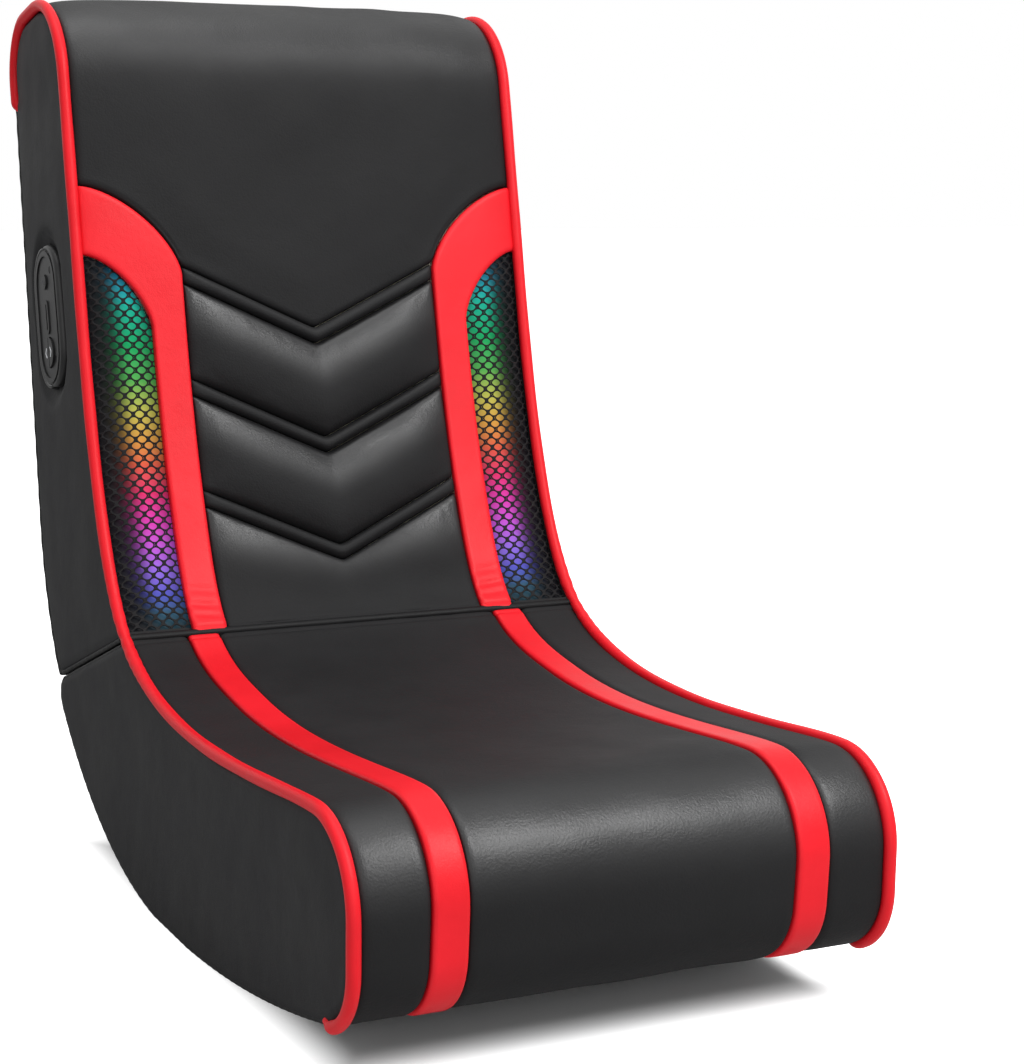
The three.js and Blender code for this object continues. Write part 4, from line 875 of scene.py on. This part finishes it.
def head_cover():
    reach = PAD_REACH + 1.0
    x = across(-reach, reach, 150, 0.7)
    low = head_low(x)
    s = low + (back_front.length - low) * lanes(190, 0.6)[:, None]
    x = np.broadcast_to(x, s.shape)
    over = nearest(np.stack([x, s], -1), np.stack([x[0], low[0]], -1))
    side, end = reach - np.abs(x), back_front.length - s
    lift = crown(back_front, x, s) + 2.0 * smooth(over / 40.0) * (1 - np.abs(x / reach) ** 4)
    lift = lift + seam_roll(over, 7.0, 5.0) + seam_roll(side, 7.0, 3.6) * (0.25 + 0.75 * smooth((end - 6.0) / 20.0))
    lift = lift + seam_roll(end, 5.0, 3.0) * smooth(side / 9.0)
    away = smooth(np.minimum(over, side) / 16.0)
    lift = lift + away * (0.55 * ripples(x, s, 61, 120.0) + 0.2 * ripples(x, s, 62, 46.0))
    turned_at = back_front.length - HEAD_TURNS - HEAD_FLATS + 45.0
    cover("head_roll_cover", back_front, x, s, lift, BLACK_LEATHER, "back", ["head_cover"], thickness=5.5,
          polish=hill(s - turned_at, 34.0))


def arch_place(u, v):
    """A place on the arch: u across from its inner edge, v up from the crease."""
    straight = 0.72
    t = np.minimum(v / straight, 1)
    turn = np.clip((v - straight) / (1 - straight), 0, 1) * math.pi / 2

    def edge(inner, start, top):
        x = inner + (PAD_REACH + 1.0 - inner) * (1 - np.cos(turn) ** (2 / SWEEP))
        s = CREASE_RELIEF + (start - CREASE_RELIEF) * t + (top - start) * np.sin(turn) ** (2 / SWEEP)
        return np.stack([x, s])

    inner_edge = edge(ARCH_INNER + ARCH_LAP, ARCH_INNER_RISE, ARCH_TOP - ARCH_LAP)
    outer_edge = edge(ARCH_OUTER - ARCH_LAP, ARCH_OUTER_RISE, ARCH_UNDER + ARCH_LAP)
    return inner_edge * (1 - u) + outer_edge * u


def arches():
    u, v = lanes(26, 0.9)[None, :], np.linspace(0, 1, 200)[:, None]
    x, s = arch_place(u, v)
    wide = np.hypot(x[:, -1] - x[:, 0], s[:, -1] - s[:, 0])[:, None]
    over = np.minimum(u, 1 - u) * wide
    lift = crown(back_front, x, s) + ARCH_PUFF + seam_roll(over, 4.2, 2.8)
    lift = lift + seam_roll(PAD_REACH + 2.0 - x, 5.0, 3.0) + seam_roll(s - CREASE_RELIEF, *CREASE_ROLL)
    for at, tall, size in ((17, 1.3, 2.6), (27, 1.7, 3.2), (41, 1.0, 4.0)):  # puckers above the crease
        lift = lift - tall * hill(s - at - 0.12 * (x - 132), size) * np.sin(math.pi * u) ** 0.5
    lift = lift + 0.12 * ripples(x, s, 71, 60.0) * smooth(over / 8.0)
    for side, sign in SIDES:
        cover(f"arch_{side}_cover", back_front, sign * x, s, lift, RED_LEATHER, "back", [f"arch_{side}"])


# Light mesh

def mesh_top(x):
    return sweep_height(ARCH_OUTER_RISE, ARCH_UNDER, ARCH_OUTER, x)


def mesh_lift(x, s):
    u = np.clip((x - ARCH_OUTER) / (PAD_REACH - ARCH_OUTER), 0, 1)
    top = np.clip((mesh_top(x) - s) / 30.0, 0, 1)
    dome = np.sin(math.pi * u) ** 0.7 * np.sqrt(smooth(top)) * smooth(s / 24.0)
    return crown(back_front, x, s) * 0.9 - 4.2 + 4.5 * dome


def light_net(side, sign):
    """A knitted net of rounded cells in staggered rows, each a ring of strand."""
    pitch, row = 11.1, 5.4
    corners = np.array([(4.8, 0.83), (2.4, 2.85), (0, 4.87), (-2.4, 2.85), (-4.8, 0.83), (-4.8, -0.83),
                        (-2.4, -2.85), (0, -4.87), (2.4, -2.85), (4.8, -0.83)]) * (pitch / 9.6, row / 5.7)
    bearing = np.arctan2(corners[:, 1], corners[:, 0])
    hole = 0.2 * corners * 0.7 + 0.8 * np.stack([3.9 * np.cos(bearing), 3.3 * np.sin(bearing)], 1)
    faces, keys, verts = [], {}, []

    def vertex(p):
        key = (round(float(p[0]) * 50), round(float(p[1]) * 50))
        if key not in keys:
            keys[key] = len(verts)
            verts.append(p)
        return keys[key]

    for j in range(-1, 64):
        for i in range(-1, 8):
            centre = np.array([ARCH_OUTER + 1.5 + pitch * (i + 0.5 * (j % 2)), CREASE_RELIEF + 3.0 + row * j])
            highest = mesh_top(max(centre[0], ARCH_OUTER)) + 1.0
            if not (ARCH_OUTER - 1.0 <= centre[0] <= PAD_REACH + 1.5 and CREASE_RELIEF <= centre[1] <= highest):
                continue
            outer = [vertex(p) for p in centre + corners]
            inner = [vertex(p) for p in centre + hole]
            for k in range(10):
                n = (k + 1) % 10
                faces.append((outer[k], outer[n], inner[n], inner[k]))
    x, s = np.array(verts).T
    x = np.clip(x, ARCH_OUTER - 1.5, PAD_REACH + 1.0)
    s = np.clip(s, CREASE_RELIEF, mesh_top(x) + 1.5)
    placed = on_spine(back_front, x, s, mesh_lift(x, s)) * (sign, 1, 1)
    obj = make_object(f"light_net_{side}", (placed, faces), NET, "back", [f"light_mesh_{side}"], sharp=80)
    grow = obj.modifiers.new("strand_thickness", "SOLIDIFY")
    grow.thickness = 0.0011
    grow.offset = 0
    soft = obj.modifiers.new("round_strands", "SUBSURF")
    soft.levels = soft.render_levels = 1
    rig.sheet(obj, flat=NET_FLAT, held="stretched", rests_on=[f"light_lining_{side}"],
             area=NET_FLAT[0] * NET_FLAT[1] * 0.5)


def light_lining(side, sign):
    u, v = np.linspace(0, 1, 26)[None, :], np.linspace(0, 1, 110)[:, None]
    x = ARCH_OUTER - 1.0 + (PAD_REACH - ARCH_OUTER + 1.5) * u
    s = CREASE_RELIEF + (mesh_top(x) - CREASE_RELIEF) * v
    x = np.broadcast_to(x, s.shape)
    lift = mesh_lift(x, s) - 3.2
    rise = (s - CREASE_RELIEF) / (ARCH_UNDER - CREASE_RELIEF)
    ends = smooth((s - 6) / 26.0) * smooth((mesh_top(x) + 4 - s) / 20.0)
    glow = np.clip(hill(u - 0.36, np.where(u < 0.36, 0.36, 0.21)) * (0.25 + 0.75 * ends), 0, 1)
    data = {"rise": np.tile(rise.ravel(), 2), "glow": np.r_[glow.ravel(), glow.ravel() * 0]}
    shape = pad(back_front, sign * x, s, lift, lift - 1.0)
    obj = make_object(f"light_lining_{side}", shape, LINING, "back", attributes=data)
    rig.sheet(obj, flat=NET_FLAT, held="stretched", rests_on=[f"back_foam_edge_{side}"])


# Piping, in one length from under the toe through the crease and up round the head

def piping_path():
    cut = 9.0
    under = np.linspace(7.0, 1.0, 8)
    under = seat_sole.at(under, 4.0 * smooth(under / 8.0))
    seat = seat_top.at(np.linspace(1, seat_top.length - cut, 260))
    back = back_front.at(np.linspace(cut, back_front.length - 1, 320))
    tail = np.linspace(0.5, 14.0, 12)
    tail = back_rear.at(tail, -6.5 * smooth(tail / 14.0))
    a, d = seat[-1], back[0]
    bend = curve(a, CREASE_POINT + (a - CREASE_POINT) * 0.25, CREASE_POINT + (d - CREASE_POINT) * 0.25, d, 14)
    return np.vstack([under, seat, bend[1:-1], back, tail])


def bend_zone(reach):
    """The two places, a reach from the crease on either side, between which soft pieces bend."""
    start, end = seat_top.at(seat_top.length - reach), back_front.at(reach)
    return dict(start=(0, start[0] * MM, start[1] * MM), end=(0, end[0] * MM, end[1] * MM))


def piping():
    path = piping_path()
    along = np.r_[0, np.cumsum(np.linalg.norm(np.diff(path, axis=0), axis=1))]
    to_end = along[-1] - along
    from_crease = np.linalg.norm(path - CREASE_POINT, axis=1)
    puckers = np.sin(along / 1.9 + 2 * np.sin(along / 23.0)) * hill(from_crease, 60.0) * 0.22
    tuck = 1 - 0.45 * smooth((14 - np.minimum(along, to_end)) / 14)
    under_binding = smooth((14 - to_end) / 12)
    for side, sign in SIDES:
        rng = np.random.default_rng(81 if sign < 0 else 82)
        waves = 0.12 * np.sin(along / 17.0 + rng.uniform(0, 6))
        radius = PIPING_RADIUS * tuck + puckers + waves - 0.5 * hill(from_crease, 14.0)
        centre = np.stack([sign * (EDGE_REACH - 4.0 * under_binding), path[:, 0], path[:, 1]], 1)
        shape = tube(centre, (1.0, 0.0, 0.0), radius, 18)
        obj = make_object(f"piping_{side}", shape, RED_LEATHER, None, [f"seat_piping_{side}", f"back_piping_{side}"])
        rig.blend(obj, "seat", "back", **bend_zone(34))
        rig.padded(obj, fill=1.0)


def crease_lips():
    """The covers' rounded ends, which meet in the crease and bend with the hinge, and the seam under them."""
    plans = [
        (f"{body}_lip_{name}", spine, ends, puff)
        for body, spine, stripe, inner, outer, lap, puffs in (
            ("seat", seat_top, "stripe", STRIPE_INNER, STRIPE_OUTER, STRIPE_LAP, (0.0, STRIPE_PUFF)),
            ("back", back_front, "arch", ARCH_INNER, ARCH_OUTER, ARCH_LAP, (0.6, ARCH_PUFF)),
        )
        for name, ends, puff in zip(
            ("centre", f"{stripe}_left", f"{stripe}_right", "edge_left", "edge_right"),
            strips(inner, outer, PAD_REACH + 7.5, lap),
            (puffs[0], puffs[1], puffs[1], 0.0, 0.0),
        )
    ]
    rows = 16
    for k, (name, spine, (x0, x1), puff) in enumerate(plans):
        red = "stripe" in name or "arch" in name
        out = (0.2 + 7.2 * (1 - np.linspace(0, 1, rows)) ** 1.3)[:, None]
        x, out = np.broadcast_arrays(across(x0, x1, max(14, int((x1 - x0) / 3)), 0.9), out)
        s = spine.length - out if spine is seat_top else out
        edge = np.minimum(x - x0, x1 - x)
        side_roll = seam_roll(edge, 3.6, 2.6) if puff else seam_roll(edge, 7.0, 3.6)
        lift = puff - 1.4 + side_roll + seam_roll(out - 0.2, 3.4, 2.6)
        lift = lift + 0.18 * ripples(x, s, 130 + k, 26.0) * smooth(edge / 6.0) * smooth((7.4 - out) / 3.0)
        obj = make_object(name, pad(spine, x, s, lift, lift - 1.6), RED_LEATHER if red else BLACK_LEATHER)
        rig.blend(obj, "seat", "back", **bend_zone(7.0))
        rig.padded(obj, fill=0.8)
    turn = np.linspace(math.radians(200), math.radians(-20), 13)
    away = np.stack([np.cos(turn), np.sin(turn)], 1)
    hug, under = HINGE_AXIS + 3.7 * away, HINGE_AXIS + 3.2 * away
    x = np.linspace(-EDGE_REACH, EDGE_REACH, 60)

    def round_axis(line_points):
        return np.stack([np.tile(x, (13, 1))] + [np.tile(line_points[:, k:k + 1], 60) for k in (0, 1)], -1)

    obj = make_object("crease_seam", slab(round_axis(hug), round_axis(under)), BLACK_EDGING)
    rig.blend(obj, "seat", "back", **bend_zone(7.0))
    long = float(np.linalg.norm(np.diff(hug, axis=0), axis=1).sum()) * MM
    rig.sheet(obj, flat=(2 * PAD_REACH * MM, long), held="stretched",
             rests_on=["hinge_seat_leaf_left", "hinge_seat_leaf_right"])


# Padded side covers

def panel_distance(p):
    """How far a side-view point lies outside the control panel's outline."""
    up = np.array([math.sin(LEAN), math.cos(LEAN)])
    d = p - lean_back((PANEL_SETBACK, PANEL_HEIGHT))
    along = np.clip(d @ up, -PANEL_HALF, PANEL_HALF)
    return np.linalg.norm(d - along[..., None] * up, axis=-1) - PANEL_WIDTH / 2


def side_cover(name, top, bottom, sign, body, node, seed, window=False):
    """A side panel between two edge lines of equal length, which meet at both ends."""
    v = lanes(46, 0.85)[:, None, None]
    p = top[None] * (1 - v) + bottom[None] * v
    edge = np.minimum(nearest(p, top), nearest(p, bottom))
    x = 203.2 + 4.6 * np.sqrt(1 - (1 - np.clip(edge / 8.0, 0, 1)) ** 2) + 0.9 * smooth(edge / 40.0)
    for strength, fade, step, size in ((0.45, 30.0, 0, 130.0), (0.22, 20.0, 1, 45.0)):
        x = x + strength * smooth(edge / fade) * ripples(p[..., 0], p[..., 1], seed + step, size)
    away = panel_distance(p)
    if window:
        x = np.where(away < 18, np.minimum(x, 203.8 + 5.0 * smooth((away - 6.0) / 12.0)), x)
    outer = np.stack([sign * x, p[..., 0], p[..., 1]], -1)
    inner = np.stack([np.full_like(x, sign * 201.8), p[..., 0], p[..., 1]], -1)
    verts, faces = slab(outer, inner)
    if window:
        shown = np.tile(away.ravel() > -4, 2)
        faces = [f for f in faces if all(shown[i] for i in f)]
    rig.padded(make_object(name, (verts, faces), SIDE_LEATHER, body, [node]), fill=0.5)


def side_covers():
    inset, short = PIPING_RADIUS + 0.4, 5.0
    t = lanes(190, 0.5)
    seat_upper = seat_top.at(t * (seat_top.length - short), -inset * smooth(t * 40))
    seat_lower = seat_sole.at(t * (seat_sole.length - short), 0.6)
    back_upper = back_front.at(short + t * (back_front.length - short), -inset)
    back_lower = back_rear.at((1 - t) * (back_rear.length - short), -0.6)
    for side, sign in SIDES:
        side_cover(f"seat_side_{side}", seat_upper, seat_lower, sign, "seat", f"seat_side_cover_{side}", 91)
        side_cover(f"back_side_{side}", back_upper, back_lower, sign, "back", f"back_side_cover_{side}", 95,
                   window=side == "left")


def edge_bindings():
    """Thin folded edging where the side covers meet the sole and the rear cloth."""
    for side, sign in SIDES:
        for body, spine, start, lift in (("seat", seat_sole, 10, 2.2), ("back", back_rear, 6, 0.4)):
            s = np.linspace(start, spine.length - 12, 260)
            centre = on_spine(spine, sign * 204.4, s, lift)
            shape = tube(centre, (1.0, 0.0, 0.0), 2.3 + 0.12 * np.sin(s / 2.1), 10)
            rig.slot(make_object(f"{body}_edging_{side}", shape, BLACK_EDGING, body), "side_cloth")


# Sole and rear cloth, bindings and pouch

def cloth_grid(spine, start, rows, ease):
    """Places of a cloth that stops where a hinge leaf lies, and runs on toward the crease beside the leaves."""
    x = across(-CLOTH_REACH, CLOTH_REACH, 120, ease)
    beside_leaf = smooth((np.abs(np.abs(x) - HINGE_REACH) - HINGE_HALF - 1.0) / 5.0)
    end = spine.length - LEAF_ROOM + 38.0 * beside_leaf
    s = start + (end - start) * np.linspace(0, 1, rows)[:, None]
    return np.broadcast_to(x, s.shape), s


def sole_cloth():
    start = 4
    x, s = cloth_grid(seat_sole, start, 140, 0.6)
    inside = smooth((CLOTH_REACH - np.abs(x)) / 20.0)
    lift = 0.25 + 0.2 * (1 + np.clip(ripples(x, s, 101, 80.0), -1, 1)) * inside
    shape = pad(seat_sole, x, s, lift, lift + 1.2)
    obj = make_object("sole_cloth", shape, REAR_CLOTH, "seat", ["seat_base_cover"])
    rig.sheet(obj, flat=(0.406, (seat_sole.length - LEAF_ROOM - start) * MM), held="stretched",
             rests_on=["seat_base_panel"])


def rear_cloth():
    start = 0.5
    x, s = cloth_grid(back_rear, start, 150, 0.5)
    inside = smooth((180 - np.abs(x)) / 40.0) * smooth(s / 30.0) * smooth((REAR_CORNER - 25 - s) / 40.0)
    off_pouch = smooth((np.abs(x + 117) - 52) / 16.0) + smooth((np.abs(s - (REAR_CORNER - 112)) - 52) / 16.0)
    waves = 1.1 + 0.9 * ripples(x, s, 111, 120.0) + 0.35 * ripples(x, s, 112, 40.0)
    lift = np.maximum(-0.3 + inside * np.clip(off_pouch, 0, 1) * waves, -0.6)
    shape = pad(back_rear, x, s, lift, lift - 1.2)
    obj = make_object("rear_cloth", shape, REAR_CLOTH, "back", ["rear_cover"])
    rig.sheet(obj, flat=(0.406, (back_rear.length - LEAF_ROOM - start) * MM), held="stretched",
             rests_on=["back_side_board_left", "back_side_board_right"])


def swept_strap(centres, wide, up, width, tall, squeeze):
    """A folded strap with a flat underside and rounded edges."""
    a = np.linspace(0, 2 * math.pi, 20, endpoint=False)
    c, s = np.cos(a), np.sin(a)
    aside = (width / 2 * np.sign(c) * np.abs(c) ** 0.5)[None, :, None] * squeeze[:, None, None]
    over = (tall / 2 * (1 + np.sign(s) * np.abs(s) ** 0.7))[None, :, None]
    rings = centres[:, None] + wide[:, None] * aside + up[:, None] * over
    return closed_rings(rings, (rings[0].mean(0)[None], rings[-1].mean(0)[None]))


def stitch_row(points, ups, length=3.0, radius=0.42):
    """Short stitches of thread along a line of points."""
    parts = []
    for a, b, up in zip(points, points[1:], ups):
        d = b - a
        run = np.linspace(-0.5, 0.5, 5)[:, None] * d * (length / max(np.linalg.norm(d), 1e-6)) * 0.9
        rise = (1 - np.linspace(-1, 1, 5) ** 2)[:, None] * up * 0.45
        thick = np.array([0.5, 0.95, 1.0, 0.95, 0.5]) * radius
        parts.append(tube((a + b) / 2 + run + rise, unit(np.cross(d, up)), thick, 6))
    return merged(parts)


def rear_places(x, s):
    """Places on the rear line, with the directions along it and away from it."""
    x, s = np.broadcast_arrays(x, s)
    place = on_spine(back_rear, x, s, BINDING_LIFT)
    along = unit(on_spine(back_rear, x, s + 1, BINDING_LIFT) - place)
    return place, along, unit(on_spine(back_rear, x, s, BINDING_LIFT + 1) - place)


def rear_binding():
    """A strap down both sides of the rear cloth and one along its foot, each with two rows of stitches."""
    straps, stitches, gap = [], [], 4.4
    s = np.linspace(0.2, REAR_CORNER + 3.0, 220)
    for sign in (-1, 1):
        x = sign * (EDGE_REACH + 0.4 - BINDING_WIDTH / 2)
        place, _, up = rear_places(x, s)
        sideways = np.tile([1.0, 0.0, 0.0], (len(s), 1))
        straps.append(swept_strap(place, sideways, up, BINDING_WIDTH, BINDING_TALL, 1 + 0.02 * np.sin(s / 3.3)))
        for off in (-5.5, 5.5):
            place, _, up = rear_places(x + off, np.arange(4.0, REAR_CORNER, gap))
            stitches.append(stitch_row(place + up * BINDING_TALL * 0.97, up))
    foot, reach = REAR_CORNER - BINDING_WIDTH / 2, PAD_REACH - BINDING_WIDTH - 1
    x = np.linspace(-reach, reach, 120)
    straps.append(swept_strap(*rear_places(x, foot), BINDING_WIDTH - 2, BINDING_TALL - 1.4, np.ones(len(x))))
    for off in (-4.6, 4.6):
        place, along, up = rear_places(np.arange(-reach + 3, reach - 3, gap), foot)
        stitches.append(stitch_row(place + along * off + up * (BINDING_TALL - 1.5), up))
    obj = make_object("rear_binding_cloth", merged(straps), BLACK_EDGING, "back", ["rear_binding"])
    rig.padded(obj, fill=0.4)
    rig.slot(make_object("rear_binding_stitches", merged(stitches), THREAD, "back"), "rear_cloth")


FULLNESS_SHARES = [0.3, 0.62, 0.85, 0.97, 1.0, 0.94, 0.82]  # of the pouch's depth, from its foot to its mouth


def pouch():
    """A thin gathered pouch: sewn down on three sides, its mouth open toward the head and drooping."""
    tall, wide, deep = 104.0, 112.0, 31.0
    u, v = np.broadcast_arrays(lanes(70, 0.6)[None, :], np.linspace(0, 1, 56)[:, None])
    x = -(PAD_REACH - BINDING_WIDTH) + 12.0 + wide * u
    between = np.sin(math.pi * u)  # 0 at both side seams, 1 midway
    fullness = np.interp(v, np.linspace(0, 1, 7), FULLNESS_SHARES)
    phase = 7.5 * (0.5 + (u - 0.5) * (1.15 - 0.3 * v)) + 0.3 * np.sin(6 * u + 3 * v)
    gathers = 0.5 + 0.5 * np.sin(2 * math.pi * phase)
    drawn = smooth((v - 0.3) / 0.6) + 0.6 * smooth((0.3 - v) / 0.25)
    bulge = 1.6 + (deep - 4) * fullness * between**0.5
    bulge = bulge - 4.2 * gathers * drawn * between**0.3 * np.minimum(1, fullness * 1.6)
    low_and_high = np.sin(math.pi * np.clip(v, 0, 0.97)) ** 0.4
    bulge = bulge + 0.8 * ripples(u * wide, v * tall, 121, 34.0) * between**0.6 * low_and_high
    bulge = bulge - 7.0 * smooth((v - 0.82) / 0.18) * between**1.5 + 1.1 * hill(v - 0.965, 0.02)
    bulge = np.maximum(bulge, 1.4)
    s = REAR_CORNER - 56.0 - tall * v + 3.0 * between * smooth((v - 0.8) / 0.2)
    shape = pad(back_rear, x, s, bulge, np.maximum(bulge - 1.3, 0.3))
    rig.padded(make_object("pouch_cloth", shape, POUCH_CLOTH, "back", ["power_bank_pocket"]), fill=0.1)


# Foam under the covers

def foam_pads():
    low, edge, gap = 9.5, 197.0, 143.0  # foam's top under the covers, its outer reach, and the edge foam's inner end
    for name, spine, ends, trim, under, node in (
        ("seat_foam", seat_top, (-edge, edge), 30, -24.0, "seat_cushion_foam"),
        ("back_foam", back_front, (-140.0, 140.0), 40, -23.0, "back_cushion_foam"),
        ("back_foam_edge_left", back_front, (-edge, -gap), 40, -23.0, "back_edge_foam_left"),
        ("back_foam_edge_right", back_front, (gap, edge), 40, -23.0, "back_edge_foam_right"),
    ):
        s = (16 + (spine.length - trim) * np.linspace(0, 1, 70))[:, None]
        x, s = np.broadcast_arrays(np.linspace(*ends, 30)[None, :], s)
        behind_mesh = np.where((s < 400) & (np.abs(x) > 142), 10.0, 0.0) * ("edge" in name)
        shape = pad(spine, x, s, crown(spine, x, s) - low - behind_mesh, np.full(s.shape, under))
        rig.padded(make_object(name, shape, FOAM, name[:4], [node]), fill=1.0)


# Control panel's gasket and the marks on its buttons

def side_place(setback, height, x):
    return np.array([x, *lean_back((setback, height))])


def panel_gasket():
    """A moulded rubber ring that widens the control panel's rim over the leather's cut edge."""
    turns, clear, foot = 96, 0.25, 203.0
    a = np.linspace(0, 2 * math.pi, turns, endpoint=False)
    outward = np.stack([np.cos(a), np.sin(a)], 1)
    inner = PANEL_WIDTH / 2 * outward + np.stack([0 * a, PANEL_HALF * np.tanh(6 * np.sin(a))], 1)
    wide = (1.2 + 6.6 * np.abs(outward[:, :1]) ** 0.5)
    levels = [(t, 205.0 + 5.6 * (1 - t**5) ** 0.5 - 0.5 * math.exp(-((t / 0.12) ** 2))) for t in lanes(12, 0.9)]
    rings = []
    for share, reach in levels + [(1.0, foot), (0.0, foot)]:
        p = lean_back(inner + outward * (clear + (wide - clear) * share) + (PANEL_SETBACK, PANEL_HEIGHT))
        rings.append(np.stack([np.full(turns, -reach), p[:, 0], p[:, 1]], 1))
    last = (len(rings) - 1) * turns
    faces = grid_faces(len(rings), turns, ring=True)
    faces += [(last + i, last + (i + 1) % turns, (i + 1) % turns, i) for i in range(turns)]
    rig.slot(make_object("panel_gasket", (np.vstack(rings), faces), PLASTIC, "back", sharp=180), "control_plastic")


def button_marks():
    cap = -211.55
    power, arrows = PANEL_HEIGHT + 31.0, PANEL_HEIGHT - 31.0
    ring = [(PANEL_SETBACK + 2.6 * math.cos(t), power - 0.3 + 2.6 * math.sin(t))
            for t in np.linspace(math.radians(125), math.radians(415), 30)]
    bar = [(PANEL_SETBACK, power + 0.6), (PANEL_SETBACK, power + 3.1)]
    marks = [("power", [ring, bar], 0.6, PRINT_GREY)]
    for name, sign in (("previous", 1), ("next", -1)):
        tip, tail = PANEL_SETBACK + sign * 8.8, PANEL_SETBACK + sign * 5.4
        marks.append((name, [[(tail, arrows + 4.2), (tip, arrows), (tail, arrows - 4.2)]], 1.2, PRINT_WHITE))
    for name, lines, width, material in marks:
        paths = [np.array([side_place(a, b, cap) for a, b in points]) for points in lines]
        shape = merged([tube(path, (1.0, 0.0, 0.0), width / 2, 8) for path in paths])
        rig.slot(make_object(f"{name}_mark", shape, material, f"{name}_button"), "control_plastic")


# Studio

def white_world():
    """White where the camera, a mirror or clear glass sees it, and dimmer as a light."""
    world = bpy.data.worlds.new("studio")
    bpy.context.scene.world = world
    world.use_nodes = True
    tree = world.node_tree
    back = tree.nodes["Background"]
    back.inputs["Color"].default_value = (1, 1, 1, 1)
    rays = wire(tree, "LightPath").node.outputs
    seen = wire(tree, "Math", {0: rays["Is Camera Ray"], 1: rays["Is Glossy Ray"]}, operation="MAXIMUM")
    seen = wire(tree, "Math", {0: seen, 1: rays["Is Transmission Ray"]}, operation="MAXIMUM")
    tree.links.new(wire(tree, "MapRange", {"Value": seen, "To Min": 0.36, "To Max": 1.0}), back.inputs["Strength"])


def studio_floor():
    """A floor that shows the chair's shadow in a box round the chair; beyond that box a painted glow, seen only by the
    camera, turns the floor white and hides any shadow there.
    """
    size = 14.0 / MM
    material, tree = new_material("studio_floor", Roughness=0.9, Specular_IOR_Level=0.05,
                                  Emission_Color=(1, 1, 1, 1))
    camera_ray = wire(tree, "LightPath", out="Is Camera Ray")
    tone = wire(tree, "Mix", {0: camera_ray, 6: (0.6, 0.6, 0.6, 1), 7: (0.92, 0.92, 0.92, 1)}, 2, data_type="RGBA")
    # Painted light: a camera-only glow that is nil in a box round the chair and full outside it, so the real shadow
    # shows only inside the box.
    spread = object_place(tree)
    for operation, by in (("ADD", (-0.01, 0.06, 0)), ("DIVIDE", (0.215, 0.31, 1.0)), ("ABSOLUTE", (0, 0, 0))):
        spread = wire(tree, "VectorMath", {0: spread, 1: by}, operation=operation)
    sides = wire(tree, "SeparateXYZ", {0: spread}).node.outputs
    away = wire(tree, "Math", {0: sides[0], 1: sides[1]}, operation="MAXIMUM")
    painted_glow_share = wire(tree, "MapRange", {"Value": away, "From Min": 0.8, "From Max": 1.06}, interpolation_type="SMOOTHSTEP")
    lift = wire(tree, "Math", {0: camera_ray, 1: painted_glow_share}, operation="MULTIPLY")
    lead(tree, Base_Color=tone, Emission_Strength=lift)
    corners = np.array([(-size, -size, 0), (size, -size, 0), (size, size, 0), (-size, size, 0)])
    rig.stage(make_object("studio_floor", (corners, [(0, 1, 2, 3)]), material))


def lamp(name, where, height, wide, tall, power):
    """A soft lamp that looks at the middle of the chair, at a height over the floor."""
    data = bpy.data.lights.new(name, "AREA")
    data.shape = "RECTANGLE"
    data.size, data.size_y, data.energy = wide, tall, power
    obj = bpy.data.objects.new(name, data)
    bpy.context.collection.objects.link(obj)
    obj.location = where
    obj.rotation_euler = (Vector((0, 0, height)) - Vector(where)).to_track_quat("-Z", "Y").to_euler()


def studio():
    bpy.context.scene.view_settings.view_transform = "Standard"
    white_world()
    studio_floor()
    lamp("key", (0.8, -1.7, 2.2), 0.3, 1.1, 1.1, 58)
    lamp("overhead", (-0.2, 0.0, 2.8), 0.3, 1.6, 1.6, 22)
    lamp("front_left", (-2.2, -2.4, 1.7), 0.35, 1.6, 1.6, 13)
    lamp("front_low", (-0.5, -3.0, 0.8), 0.2, 1.6, 1.2, 11)


place_camera()
finish_frame()
foam_pads()
seat_covers()
chevron_covers()
head_cover()
arches()
for _side, _sign in SIDES:
    light_lining(_side, _sign)
    light_net(_side, _sign)
piping()
crease_lips()
side_covers()
edge_bindings()
sole_cloth()
rear_cloth()
rear_binding()
pouch()
panel_gasket()
button_marks()
studio()

with open("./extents.json", "w") as size_file:
    json.dump({"cad": [list(v) for v in cad_box], "visual": [list(v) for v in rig.bounds()]}, size_file)
